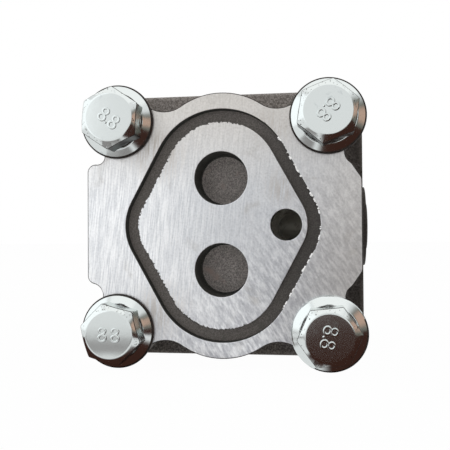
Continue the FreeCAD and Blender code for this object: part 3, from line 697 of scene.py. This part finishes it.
def moulded_black(name, dark, light, grain_mm, rough, metallic):
    """Dull black surface with fine grain and a dusty film."""
    material, tree, shader = open_material(name)
    grain = use_group(tree, cast_grain, Grain_mm=grain_mm)
    dust_and_top_light = use_group(tree, smudges, Size_mm=4.0, Spread=0.45)[0]
    dusty = layered(dark, (grain["Grain"], light), (times(dust_and_top_light, 0.25), (0.16, 0.15, 0.135)))
    feed(shader, {"Base Color": dusty, "Metallic": metallic, "Roughness": plus(times(dust_and_top_light, 0.2), rough),
                  "Normal": bumped(grain["Height"], 0.3, 0.04)})
    return material


ground_steel = turned_metal("ground_steel", (0.5, 0.505, 0.51), (0.68, 0.68, 0.68), (0.4, 0.36, 0.3),
                            0.09, 0.2)
bearing_bronze = turned_metal("bearing_bronze", (0.5, 0.34, 0.16), (0.72, 0.52, 0.27), (0.3, 0.19, 0.1),
                              0.16, 0.27)
seal_rubber = moulded_black("seal_rubber", (0.012, 0.012, 0.013), (0.035, 0.035, 0.036), 0.12, 0.42, 0.0)
spring_steel = moulded_black("spring_steel", (0.045, 0.043, 0.04), (0.14, 0.135, 0.125), 0.1, 0.4, 0.8)
print("materials:", ground_steel.name, bearing_bronze.name, seal_rubber.name, spring_steel.name)

# %% [markdown]
# Everything round on the pump is turned or drilled, and it is modelled the same way: a half profile is
# drawn and spun about its axis, or wound up it where there is a thread. The next cell holds these steps
# and what most pieces share: applied modifiers, merging, faces that look outwards, smooth shading that
# leaves flat faces flat, and joining.

# %% Turning and finishing helpers
def select_only(piece):
    """Makes one piece the only selected one, and active."""
    bpy.ops.object.select_all(action="DESELECT")
    piece.select_set(True)
    bpy.context.view_layer.objects.active = piece


def apply_modifier(piece, name, kind, **settings):
    """Adds a modifier to a piece, sets it and applies it."""
    select_only(piece)
    modifier = piece.modifiers.new(name, kind)
    for setting, value in settings.items():
        setattr(modifier, setting, value)
    bpy.ops.object.modifier_apply(modifier=modifier.name)


def edit_all(piece):
    """Opens a piece in edit mode with all of it selected."""
    select_only(piece)
    bpy.ops.object.mode_set(mode="EDIT")
    bpy.ops.mesh.select_all(action="SELECT")


def merge_doubles(piece, reach):
    """Merges vertices within a reach in mm."""
    edit_all(piece)
    bpy.ops.mesh.remove_doubles(threshold=reach * MM)
    bpy.ops.object.mode_set(mode="OBJECT")


def face_outward():
    """Turns the faces of the piece in edit mode outwards, and leaves edit mode."""
    bpy.ops.mesh.select_all(action="SELECT")
    bpy.ops.mesh.normals_make_consistent(inside=False)
    bpy.ops.object.mode_set(mode="OBJECT")


def drawn(name, profile, closed=False):
    """Draws lines through (radius, height) points in mm, in the plane of X and Z."""
    mesh = bpy.data.meshes.new(name)
    count = len(profile)
    lines = [(i, (i + 1) % count) for i in range(count if closed else count - 1)]
    mesh.from_pydata([(radius * MM, 0.0, height * MM) for radius, height in profile], lines, [])
    return new_piece(name, mesh)


def spun(name, profile, steps):
    """Spins a half profile about the Z axis into a closed piece."""
    piece = drawn(name, profile)
    edit_all(piece)
    bpy.ops.mesh.spin(steps=steps, angle=2 * math.pi, center=(0, 0, 0), axis=(0, 0, 1))
    bpy.ops.mesh.select_all(action="SELECT")
    bpy.ops.mesh.remove_doubles(threshold=0.0005 * MM)
    face_outward()
    return piece


def wound(piece, pitch, turns, steps):
    """Winds a drawn profile up the Z axis with a Screw modifier."""
    apply_modifier(piece, "winding", "SCREW", axis="Z", steps=steps, render_steps=steps,
                   screw_offset=pitch * MM, iterations=turns)


def trim_ends(piece, shift, low, high):
    """Moves a piece along Z and cuts off what lies below low or above high, all in mm."""
    edit_all(piece)
    bpy.ops.transform.translate(value=(0, 0, shift * MM))
    for height, keep_above in ((low, True), (high, False)):
        bpy.ops.mesh.select_all(action="SELECT")
        bpy.ops.mesh.bisect(plane_co=(0, 0, height * MM), plane_no=(0, 0, 1), use_fill=True,
                            clear_inner=keep_above, clear_outer=not keep_above, threshold=0.0001 * MM)
    face_outward()


def smooth_shade(piece, angle):
    """Shades the piece smooth up to an angle, and lets large flat faces keep their own direction."""
    select_only(piece)
    bpy.ops.object.shade_smooth_by_angle(angle=math.radians(angle))
    apply_modifier(piece, "flat_faces_stay_flat", "WEIGHTED_NORMAL", keep_sharp=True)


def joined(name, pieces):
    """Joins pieces into the first one and names it."""
    select_only(pieces[0])
    for piece in pieces[1:]:
        piece.select_set(True)
    bpy.ops.object.join()
    pieces[0].name = name
    pieces[0].data.name = name
    return pieces[0]


print("helpers for turned pieces ready")

# %% [markdown]
# Both ports are tapped for hydraulic fittings: M12 x 1.5 on the right, and a G 3/8 pipe thread on the
# left. In the CAD they are plain bores at the drill size, so each bore is opened to the full diameter of
# its thread, with a small lead at the mouth. The turned cutters for that are made first, because iron is
# drilled before its edges are filed.

# %% Port cutters
# thread radius, drill radius, pitch and lead in mm, of the port on the right (1) and on the left (-1)
port_at = {1: (6.0, 5.25, 1.5, 0.12), -1: (8.33, 7.6, 1.337, 0.55)}
PORT_Y = -29.0
LAND_X = 36.2
THREAD_DEPTH = 11.8
THREAD_END_X = LAND_X - THREAD_DEPTH


def shifted(x, y, z):
    """Shift by three lengths in mm, as a matrix."""
    return Matrix.Translation((x * MM, y * MM, z * MM))


def out_of_port(side):
    """Takes a piece built along Z into the port on the right (1) or the left (-1)."""
    return shifted(0, PORT_Y, 0) @ rotation(90 * side, "Y")


cutters = []
for side, (major_r, drill_r, pitch, lead) in port_at.items():
    profile = [(0, LAND_X + 1), (major_r + lead, LAND_X + 1), (major_r + lead, LAND_X),
               (major_r, LAND_X - lead), (major_r, THREAD_END_X),
               (drill_r, THREAD_END_X - 0.7), (0, THREAD_END_X - 0.7)]
    cutter = spun("port_cutter", profile, 72)
    cutter.data.transform(out_of_port(side))
    cutters.append(cutter)
port_cutters = joined("port_cutters", cutters)
print("port cutters:", len(port_cutters.data.polygons), "faces")

# %% [markdown]
# The three castings come from the CAD frame with knife-sharp edges. Real ones have edges that were broken
# with a file, and these thin bright lines are what the eye reads as metal. So each casting is copied, its
# loose triangles are merged into whole faces, and a Bevel modifier eases the edges by about a fifth of a
# millimetre. A file reaches outward edges only, so inward ones keep their corner. Beside a narrow face an
# edge gets less, so that two eased edges never run into each other, and the mouths of the passages inside
# the gear chamber get none. The gear body's ports are opened first, with a Boolean on the merged solid.
# The flat sides round them are then split into convex faces, because the easing would close them again.

# %% Eased castings
MERGE_MM = 0.03
SHARP_ANGLE = math.radians(32)
ROOM_SHARE = 0.45
SIDE_X = 32.9
CHAMBER_LOW = Vector((-13.5, -39.5, -7.0))
CHAMBER_HIGH = Vector((13.5, -18.5, 7.0))
SQUARE_ON = 0.98


def weigh_outward_edges(mesh, ease):
    """Gives each sharp outward edge outside the chamber its share of the ease, by the room beside it."""
    edit = bmesh.new()
    edit.from_mesh(mesh)
    shares = []
    for edge in edit.edges:
        start, end = edge.verts[0].co, edge.verts[1].co
        middle = (start + end) / 2 / MM
        in_chamber = all(CHAMBER_LOW[axis] < middle[axis] < CHAMBER_HIGH[axis] for axis in range(3))
        if edge.calc_face_angle(0.0) < SHARP_ANGLE or not edge.is_convex or in_chamber:
            shares.append(0.0)
            continue
        line = (end - start).normalized()
        room = min(max((corner.co - start).cross(line).length for corner in face.verts)
                   for face in edge.link_faces)
        shares.append(min(1.0, ROOM_SHARE * room / ease))
    edit.free()
    mesh.attributes.new("bevel_weight_edge", "FLOAT", "EDGE").data.foreach_set("value", shares)


def split_holed_sides(piece):
    """Splits the faces round the ports into convex ones. As one face, each would close over its port."""
    bpy.context.tool_settings.mesh_select_mode = (False, False, True)
    for part in (piece.data.vertices, piece.data.edges):
        part.foreach_set("select", [False] * len(part))
    for face in piece.data.polygons:
        face.select = abs(face.normal.x) > SQUARE_ON and abs(face.center.x) > SIDE_X * MM
    bpy.ops.object.mode_set(mode="EDIT")
    bpy.ops.mesh.vert_connect_concave()
    bpy.ops.object.mode_set(mode="OBJECT")


def eased_copy(node_name, piece_name, ease, cutter=None):
    """Copies a CAD node, merges, cuts and eases the copy, which then stands for the node."""
    piece = new_piece(piece_name, frame["nodes"][node_name].data.copy())
    select_only(piece)
    bpy.ops.mesh.customdata_custom_splitnormals_clear()
    merge_doubles(piece, 0.001)
    if cutter:
        apply_modifier(piece, "opened_ports", "BOOLEAN", operation="DIFFERENCE", object=cutter,
                       solver="EXACT")
    edit_all(piece)
    bpy.ops.mesh.remove_doubles(threshold=MERGE_MM * MM)
    bpy.ops.mesh.dissolve_limited(angle_limit=math.radians(0.5))
    bpy.ops.object.mode_set(mode="OBJECT")
    if cutter:
        split_holed_sides(piece)
    weigh_outward_edges(piece.data, ease)
    apply_modifier(piece, "eased_edges", "BEVEL", width=ease, segments=2, limit_method="WEIGHT",
                   use_clamp_overlap=False)
    piece.data.attributes.remove(piece.data.attributes["bevel_weight_edge"])
    smooth_shade(piece, 36)
    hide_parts(node_name)
    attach(piece, "housing")
    print(piece_name, len(piece.data.polygons), "faces")
    return piece


rear_casting = eased_copy("rear_cover", "rear_cover_casting", 0.22 * MM)
body_casting = eased_copy("gear_body", "gear_body_casting", 0.2 * MM, port_cutters)
bpy.data.objects.remove(port_cutters)
cover_casting = eased_copy("mounting_cover", "mounting_cover_casting", 0.25 * MM)

# %% [markdown]
# A casting has several finishes: skin, milled faces, drilled holes, pocket floors painted lighter and
# walls painted nearly black as shade. They meet along the edges, so each face of the mesh is given its
# own material slot, by its place and by the way it looks. The eased rim of the pad takes the painted dark
# edge of the bolts, a thin dark line round the bright face, and the edges of groove and pockets are bright.

# %% Machined faces
POCKET_R = 6.4
POCKET_LIFT = 0.3
TAPPING_R = 3.7
TAPPING_X = 15.5
BASE_Y = REAR_Y + 12.5 * MM
EASED_DEPTH = 0.25 * MM
EASED_REACH = 0.35
FLOOR_FACING = 0.9


def finish_faces(piece, materials, choose):
    """Gives the piece its materials, and each face the number of the one that choose picks."""
    piece.data.materials.clear()
    for material in materials:
        piece.data.materials.append(material)
    counts = [0] * len(materials)
    for face in piece.data.polygons:
        face.material_index = choose(face.center, face.normal)
        counts[face.material_index] += 1
    print(piece.name, dict(zip((m.name for m in materials), counts)))


def outside_groove(at):
    """Distance in mm outside the outer edge of the face groove, as the node group works it out."""
    point = rotation(GROOVE_TURN, "Y") @ Vector((at.x, 0, at.z)) / MM
    x, z = abs(point.x), abs(point.z)
    travel = z * normal_x - x * normal_z
    if travel > lobe_z * normal_x:
        return math.hypot(x, z - lobe_z) - GROOVE_LOBE_R
    if travel < -GROOVE_SIDE_X * normal_z:
        return math.hypot(x - GROOVE_SIDE_X, z) - GROOVE_SIDE_R
    return x * normal_x + z * normal_z - flank_at


def off_axis_mm(at, x, z):
    """Distance in mm from a line along Y."""
    return math.hypot(at.x / MM - x, at.z / MM - z)


def rear_finish(at, facing):
    """Number of a face's finish in the list below."""
    inside = outside_groove(at) < EASED_REACH
    if at.y < REAR_Y + EASED_DEPTH and facing.y < -0.2:
        return 1 if facing.y < -SQUARE_ON or (inside and facing.y < -0.5) else 2 if inside else 5
    if off_axis_mm(at, TAPPING_X, 0) < TAPPING_R + 0.3:
        return 4
    if not inside or at.y > BASE_Y:
        return 0
    in_pocket = min(off_axis_mm(at, 0, side * lobe_z + POCKET_LIFT) for side in (-1, 1)) < POCKET_R + 0.2
    if facing.y < -FLOOR_FACING:
        return 3 if in_pocket else 6
    return 2


# pocket floors painted lighter, walls painted dark as shade, and the pad's rim gets the painted dark edge
rear_finishes = [cast_skin, dressed_iron, dark_wall, pocket_floor, drilled_iron, painted_dark_edge, groove_floor]
finish_faces(rear_casting, rear_finishes, rear_finish)
finish_faces(cover_casting, [cast_skin, dressed_iron], lambda at, facing: 1 if at.y > -0.05 * MM else 0)

# %% [markdown]
# Four flanged hexagon bolts hold the pump together. A head like this is forged in one blow: a round
# flange with a sloping top, a hexagon on it, and a cone of thirty degrees that takes the corners off. It
# is built the same way. The flange is spun with its rolled rim. The hexagon starts as a six-sided prism
# whose upright edges are rounded, and a spun cap with the thirty degree cone is intersected with it,
# which draws the curved line on each flat that every real bolt head shows. The top face is kept a little
# low, so that the raised digits end at the CAD's height.

# %% Bolt head
HEX_ACROSS = 13.0
HEX_FOOT = 0.8
HEAD_TOP = 7.88
FLANGE_R = 8.95
FACE_R = 5.65
CAP_R = 8.6
CONE_DEGREES = 30
CORNER_ROUND = 0.3
HEAD_EASE = 0.12
DIGIT_HEIGHT = 0.22

bpy.ops.object.select_all(action="DESELECT")
bpy.ops.mesh.primitive_cylinder_add(vertices=6, radius=HEX_ACROSS / math.sqrt(3) * MM,
                                    depth=(HEAD_TOP - HEX_FOOT) * MM, rotation=(0, 0, math.radians(-30)),
                                    location=(0, 0, (HEAD_TOP + HEX_FOOT) / 2 * MM))
hexagon = bpy.context.object
bpy.ops.object.transform_apply(location=True, rotation=True, scale=True)
bpy.ops.object.mode_set(mode="EDIT")
bpy.ops.mesh.select_mode(type="EDGE")
bpy.ops.mesh.select_all(action="DESELECT")
edit = bmesh.from_edit_mesh(hexagon.data)
for edge in edit.edges:
    edge.select_set(abs(edge.verts[0].co.z - edge.verts[1].co.z) > MM)
bmesh.update_edit_mesh(hexagon.data)
bpy.ops.mesh.bevel(offset=CORNER_ROUND * MM, segments=3, affect="EDGES")
bpy.ops.object.mode_set(mode="OBJECT")

fall = math.tan(math.radians(CONE_DEGREES))
shoulder = HEAD_TOP - 0.1
cap = spun("cone_cap", [(0, 0.4), (CAP_R, 0.4), (CAP_R, shoulder - (CAP_R - FACE_R) * fall),
                        (FACE_R + 0.3, shoulder - 0.3 * fall), (FACE_R + 0.12, shoulder),
                        (FACE_R - 0.1, HEAD_TOP - 0.02), (FACE_R - 0.35, HEAD_TOP), (0, HEAD_TOP)], 96)
apply_modifier(hexagon, "cone_cut", "BOOLEAN", operation="INTERSECT", object=cap, solver="EXACT")
bpy.data.objects.remove(cap)
apply_modifier(hexagon, "eased_edges", "BEVEL", width=HEAD_EASE * MM, segments=2, limit_method="ANGLE",
               angle_limit=math.radians(24), use_clamp_overlap=False)

flange = spun("bolt_flange", [(0, 0), (FLANGE_R - 0.35, 0), (FLANGE_R - 0.1, 0.1), (FLANGE_R, 0.35),
                              (FLANGE_R, 0.75), (FLANGE_R - 0.1, 1.0), (FLANGE_R - 0.4, 1.2), (7.15, 2.05),
                              (6.75, 2.4), (6.55, 2.9), (0, 2.9)], 120)
print("hexagon and flange:", len(hexagon.data.polygons), "and", len(flange.data.polygons), "faces")

# %% [markdown]
# The shank is turned a little thinner than the thread, and the thread stands out of the far side of the
# pump. A thread is one V of metal carried round and up at once, which is what the Screw modifier does
# with the profile of a single pitch. Two cuts trim its ends, and the last turns are pulled in to the
# chamfer of the tip.

# %% Shank and thread
PITCH = 1.25
THREAD_R = 4.0
ROOT_R = 3.23
SHANK_R = 3.6
TIP_R = 3.15
TIP_SLOPE = 0.9
tip_at = -(bolt_high.y - REAR_Y) / MM
thread_from = REAR_Y / MM + 2.0
turns = math.ceil((thread_from - tip_at) / PITCH) + 2

profile = [(ROOT_R, 0.0), (ROOT_R, 0.21), (THREAD_R, 0.65), (THREAD_R, 0.81), (ROOT_R, PITCH)]
thread = drawn("bolt_thread", profile)
wound(thread, PITCH, turns, 40)
merge_doubles(thread, 0.002)
trim_ends(thread, tip_at - PITCH, tip_at, thread_from)
for vertex in thread.data.vertices:
    radius = math.hypot(vertex.co.x, vertex.co.y)
    limit = (TIP_R + (vertex.co.z / MM - tip_at) * TIP_SLOPE) * MM
    if radius > limit:
        vertex.co.x *= limit / radius
        vertex.co.y *= limit / radius
shank = spun("bolt_shank", [(0, 0.3), (4.3, 0.3), (4.3, -0.15), (SHANK_R + 0.15, -0.5), (SHANK_R, -0.9),
                            (SHANK_R, thread_from - 0.2), (ROOT_R, thread_from - 0.9),
                            (0, thread_from - 0.9)], 64)
print("thread of", turns, "turns:", len(thread.data.polygons), "faces")

# %% [markdown]
# The top of each head carries the two digits of its strength class, pressed up from the metal by the
# forging die. An 8 is two flattened rings that touch. It is modelled once, copied for the second digit,
# and the small dome of the point goes between them. One bolt has no point, and each text lies at its own
# angle, as its bolt was turned home.

# %% Raised digits
RING_R = 0.72
STROKE_R = 0.28


def ring(at_y, across, tall):
    """One flattened ring of a digit, as wide and tall as given in mm."""
    bpy.ops.object.select_all(action="DESELECT")
    bpy.ops.mesh.primitive_torus_add(major_radius=RING_R * MM, minor_radius=STROKE_R * MM,
                                     major_segments=28, minor_segments=8, location=(0, 0, 0))
    torus = bpy.context.object
    edit_all(torus)
    outer = 2 * (RING_R + STROKE_R)
    bpy.ops.transform.resize(value=(across / outer, tall / outer, DIGIT_HEIGHT / STROKE_R))
    bpy.ops.transform.translate(value=(0, at_y * MM, HEAD_TOP * MM))
    bpy.ops.object.mode_set(mode="OBJECT")
    return torus


digit = joined("digit_eight", [ring(-0.8, 2.35, 2.05), ring(0.82, 2.1, 1.9)])
point = spun("digit_point", [(0, -0.1), (0.3, -0.1), (0.3, 0.0), (0.24, 0.09), (0.12, 0.15), (0, 0.17)], 16)
point.data.transform(shifted(0, -1.3, HEAD_TOP))
bolt_blank = joined("bolt_blank", [hexagon, flange, thread, shank])
print("digit:", len(digit.data.polygons), "faces, bolt:", len(bolt_blank.data.polygons), "faces")

# %% [markdown]
# Now the four bolts. Each copy of the blank is turned to the angle of its hexagon, gets its digits, is
# laid along the pump's Y axis and moved to its corner. All of it is done to the mesh, so that the object
# itself stays at the origin. On the bolt at the bottom right the painted shade is left off the upper left
# of its rim and off its digits.

# %% Four bolts in place
HEX_TURN = {"top_left": 26.0, "top_right": 20.5, "bottom_left": 45.5, "bottom_right": 6.0}
TEXT_TURN = {"top_left": -39.0, "top_right": -130.0, "bottom_left": -2.0, "bottom_right": -103.0}
TEXT_SHIFT = {"top_left": (0.25, -0.28), "top_right": (0.1, 0.07), "bottom_left": (0.0, 0.08),
              "bottom_right": (-0.12, 0.06)}
DIGIT_SPACING = 3.1
RIM_DEPTH = 0.28
CONE_EDGE_R = 6.2
CONE_EDGE_HEIGHT = 4.0
FILLET_R = (6.4, 6.8)
FILLET_HEIGHT = (2.0, 2.95)
FLAT_R = (5.5, 7.6)
FLAT_HEIGHT = 2.4
lay_down = rotation(90, "X")


def own_copy(piece, matrix):
    """Copy of a piece with its own mesh, moved in the mesh."""
    copy = new_piece(piece.name, piece.data.copy())
    copy.data.transform(matrix)
    return copy


for corner, (side_x, side_z) in CORNERS.items():
    text_turn = shifted(*TEXT_SHIFT[corner], 0) @ rotation(TEXT_TURN[corner], "Z")
    parts = [own_copy(bolt_blank, rotation(HEX_TURN[corner], "Z"))]
    for side in (-1, 1):
        parts.append(own_copy(digit, text_turn @ shifted(side * DIGIT_SPACING / 2, 0, 0)))
    if corner != "bottom_left":
        parts.append(own_copy(point, text_turn))
    bolt = joined("bolt_" + corner, parts)
    bolt.data.transform(Matrix.Translation((side_x * BOLT_HALF, REAR_Y, side_z * BOLT_HALF)) @ lay_down)
    smooth_shade(bolt, 38)
    # on the bottom right bolt the painted shade is left off the rim's upper left and off the digits
    painted_shade_left_off = corner == "bottom_right"

    def bolt_finish(at, facing):
        """Finish of a face: 0 zinc, 1 painted dark edge on the rim, the cone's edge, the hexagon's foot
        and a digit's lower right side, 2 painted shade on the hexagon's undersides.
        """
        radius = off_axis_mm(at, side_x * BOLT_HALF / MM, side_z * BOLT_HALF / MM)
        height = (REAR_Y - at.y) / MM
        to_lower_right = facing.x - facing.z
        if radius > FLANGE_R - RIM_DEPTH:
            return 0 if painted_shade_left_off and to_lower_right < 0.3 else 1
        cone_edge = radius > CONE_EDGE_R and height > CONE_EDGE_HEIGHT and 0.1 < -facing.y < 0.8
        fillet = FILLET_R[0] < radius < FILLET_R[1] and FILLET_HEIGHT[0] < height < FILLET_HEIGHT[1]
        if cone_edge or fillet:
            return 1
        on_flat = FLAT_R[0] < radius < FLAT_R[1] and height > FLAT_HEIGHT and abs(facing.y) < 0.1
        if on_flat and facing.z < -0.25:
            return 2
        on_digit = radius < FACE_R - 0.5 and HEAD_TOP + 0.01 < height and to_lower_right > 0.45
        return 1 if on_digit and not painted_shade_left_off else 0

    finish_faces(bolt, [zinc_plate, painted_dark_edge, painted_shade_zinc], bolt_finish)
    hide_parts("flange_bolt_" + corner)
    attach(bolt, "housing")
    print(bolt.name, len(bolt.data.polygons), "faces")
for pattern in (bolt_blank, digit, point):
    bpy.data.objects.remove(pattern)

# %% [markdown]
# Where the milling cutter left the metal, on the groove's outer edge at the right, it tore bright flakes
# that hang over the groove. They could be painted, but a flake catches light and hides the floor, so each
# is a real shaving: a few points along the edge, a torn outline over the groove, and the root sunk in the
# metal. A seed places them.

# %% Torn iron material
torn_iron, tree, shader = open_material("torn_iron")
crumple = noise(place_in(tree), 3000.0, 2.0)
feed(shader, {"Base Color": layered((0.6, 0.6, 0.6), (ramp(crumple, 0.3, 0.6), (0.97, 0.97, 0.96))),
              "Metallic": 1.0, "Roughness": 0.5, "Normal": bumped(crumple, 0.5, 0.05)})
print("material:", torn_iron.name)

# %% [markdown]
# The flakes follow the groove's outer edge from the upper lobe round the right side to the lower lobe. A
# function walks along that edge and gives a place and the outward direction, so a flake only needs a
# start and a length. Each is three rows of points: the root in the metal, the edge, and the torn tip.
# Solidify then makes it a thin sheet.

# %% Burr along the groove
FLAKES = 44
FLAKE_LENGTHS = (0.25, 0.35, 0.5, 0.9)
FLAKE_REACH = (0.12, 0.42)
EDGE_MM = 52.0
STEP_MM = 0.12
ROOT_MM = 0.42
BEND_MM = 0.05


def edge_point(share):
    """Point and outward direction on the groove's outer edge, from the top lobe (0) to the bottom (1)."""
    lobe_run = GROOVE_LOBE_R * (math.radians(50) - tangent)
    flank_run = math.sqrt(centres_apart ** 2 - (GROOVE_LOBE_R - GROOVE_SIDE_R) ** 2)
    side_run = GROOVE_SIDE_R * tangent
    travel = abs(share - 0.5) * 2 * (lobe_run + flank_run + side_run)
    x, z, radius, turn = GROOVE_SIDE_X, 0.0, GROOVE_SIDE_R, tangent
    if travel < side_run:
        turn = travel / GROOVE_SIDE_R
    elif travel < side_run + flank_run:
        x -= (travel - side_run) * math.sin(tangent)
        z = (travel - side_run) * math.cos(tangent)
    else:
        turn += (travel - side_run - flank_run) / GROOVE_LOBE_R
        x, z, radius = 0.0, lobe_z, GROOVE_LOBE_R
    outward = Vector((math.cos(turn), 0, math.sin(turn)))
    point = Vector((x, 0, z)) + outward * radius
    if share > 0.5:
        point.z, outward.z = -point.z, -outward.z
    back_turn = rotation(-GROOVE_TURN, "Y")
    return back_turn @ point, back_turn @ outward


random.seed(11)
points = []
faces = []
for _ in range(FLAKES):
    start = random.uniform(0.06, 0.9)
    length = random.choice(FLAKE_LENGTHS)
    steps = max(2, round(length / STEP_MM))
    reach = random.uniform(*FLAKE_REACH)
    first = len(points)
    for step in range(steps + 1):
        edge_at, outward = edge_point(start + step * length / steps / EDGE_MM)
        torn = reach * (0.25 if step in (0, steps) else random.uniform(0.5, 1.0))
        points.append(edge_at + outward * ROOT_MM + Vector((0, 0.06, 0)))
        points.append(edge_at + outward * BEND_MM + Vector((0, 0.02, 0)))
        points.append(edge_at - outward * torn + Vector((0, 0.03 + torn * random.uniform(0.1, 0.5), 0)))
    for step in range(steps):
        for row in (0, 1):
            corner_at = first + step * 3 + row
            faces.append((corner_at, corner_at + 1, corner_at + 4, corner_at + 3))
burr_mesh = bpy.data.meshes.new("groove_burr")
burr_mesh.from_pydata([point * MM + Vector((0, REAR_Y, 0)) for point in points], [], faces)
burr = new_piece("groove_burr", burr_mesh)
edit_all(burr)
face_outward()
apply_modifier(burr, "flake_thickness", "SOLIDIFY", thickness=0.03 * MM, offset=0.0)
burr.data.materials.append(torn_iron)
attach(burr, "housing")
print("burr:", FLAKES, "flakes,", len(burr.data.polygons), "faces")

# %% [markdown]
# The threads of the ports come last. One V-shaped ridge winds down the wall of each opened bore: a closed
# profile that the Screw modifier carries along the helix. Its root lies a little inside the iron, so that
# no gap shows.

# %% Port threads
for side, (major_r, drill_r, pitch, lead) in port_at.items():
    root_r, crest = major_r + 0.12, pitch / 2
    profile = [(root_r, 0.02), (drill_r, crest - 0.08), (drill_r, crest + 0.08), (root_r, pitch - 0.02)]
    ridge = drawn("port_thread", profile, closed=True)
    wound(ridge, pitch, int(THREAD_DEPTH / pitch) + 2, 48)
    low_end = THREAD_END_X - 0.2
    trim_ends(ridge, low_end - pitch, low_end, LAND_X - lead - 0.35)
    ridge.data.transform(out_of_port(side))
    ridge.name = "outlet_port_thread" if side > 0 else "inlet_port_thread"
    smooth_shade(ridge, 30)
    ridge.data.materials.append(drilled_iron)
    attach(ridge, "housing")
    print(ridge.name, len(ridge.data.polygons), "faces")

# %% [markdown]
# The gear body has four finishes: skin outside and on the bosses, a milled land round each port, and
# bright drilled walls inside. The land is the outermost flat ring. The walls lie within the port's radius
# and don't face outwards, which tells them from the boss round them. The passage at the bottom of the
# small rear hole is drilled too, and oily.

# %% Gear body finish
CHAMBER_X = 20
PASSAGE_HALF = 6
PASSAGE_R = 4.4


def body_finish(at, facing):
    """Finish of one face of the gear body: 0 skin, 1 milled, 2 drilled, 3 oily passage."""
    out = abs(at.x) / MM
    off_port = math.hypot(at.z, at.y - PORT_Y * MM) / MM
    major_r, drill_r, pitch, lead = port_at[1 if at.x > 0 else -1]
    if off_port < major_r + lead + 0.05 and abs(facing.x) < FLOOR_FACING and out > CHAMBER_X:
        return 2
    if out > LAND_X - 0.25 and abs(facing.x) > SQUARE_ON:
        return 1
    by_tapping = abs(at.x / MM - TAPPING_X) < PASSAGE_HALF and BASE_Y < at.y < (PORT_Y + 5) * MM
    if by_tapping and abs(at.z) < PASSAGE_R * MM:
        return 3
    return 2 if CHAMBER_X < out < THREAD_END_X and off_port < major_r else 0


finish_faces(body_casting, [cast_skin, dressed_iron, drilled_iron, oily_metal], body_finish)

# %% [markdown]
# The other solids keep their CAD meshes, which are exact, and only need their finish. The three castings
# and four bolts were replaced above, so their CAD meshes stay hidden.

# %% Finishes of the other pieces
SLOT_FINISH = {
    ground_steel: ["drive_shaft", "idler_shaft", "drive_gear", "idler_gear", "drive_key", "idler_key",
                   "rear_dowel_left", "rear_dowel_right", "front_dowel_left", "front_dowel_right"],
    bearing_bronze: ["drive_rear_bush", "drive_front_bush", "idler_rear_bush", "idler_front_bush",
                     "rear_wear_plate", "front_wear_plate"],
    seal_rubber: ["rear_pressure_seal", "front_pressure_seal", "rear_body_seal", "front_body_seal",
                  "pilot_o_ring", "shaft_seal_lip"],
    spring_steel: ["shaft_seal_case", "garter_spring", "seal_retaining_ring"],
    cast_skin: ["rear_cover", "gear_body", "mounting_cover"],
    zinc_plate: ["flange_bolt_" + corner for corner in CORNERS],
}
for finish, names in SLOT_FINISH.items():
    for name in names:
        frame["nodes"][name].data.materials.clear()
        frame["nodes"][name].data.materials.append(finish)
    print(finish.name, "on", len(names), "pieces")

# %% [markdown]
# Last, the outer box of the model is printed beside the CAD box.

# %% Size and finish
model_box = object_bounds()
for label, corners in (("CAD", cad_box), ("model", model_box)):
    print(label, "box in mm:", [[round(value / MM, 2) for value in corner] for corner in corners])
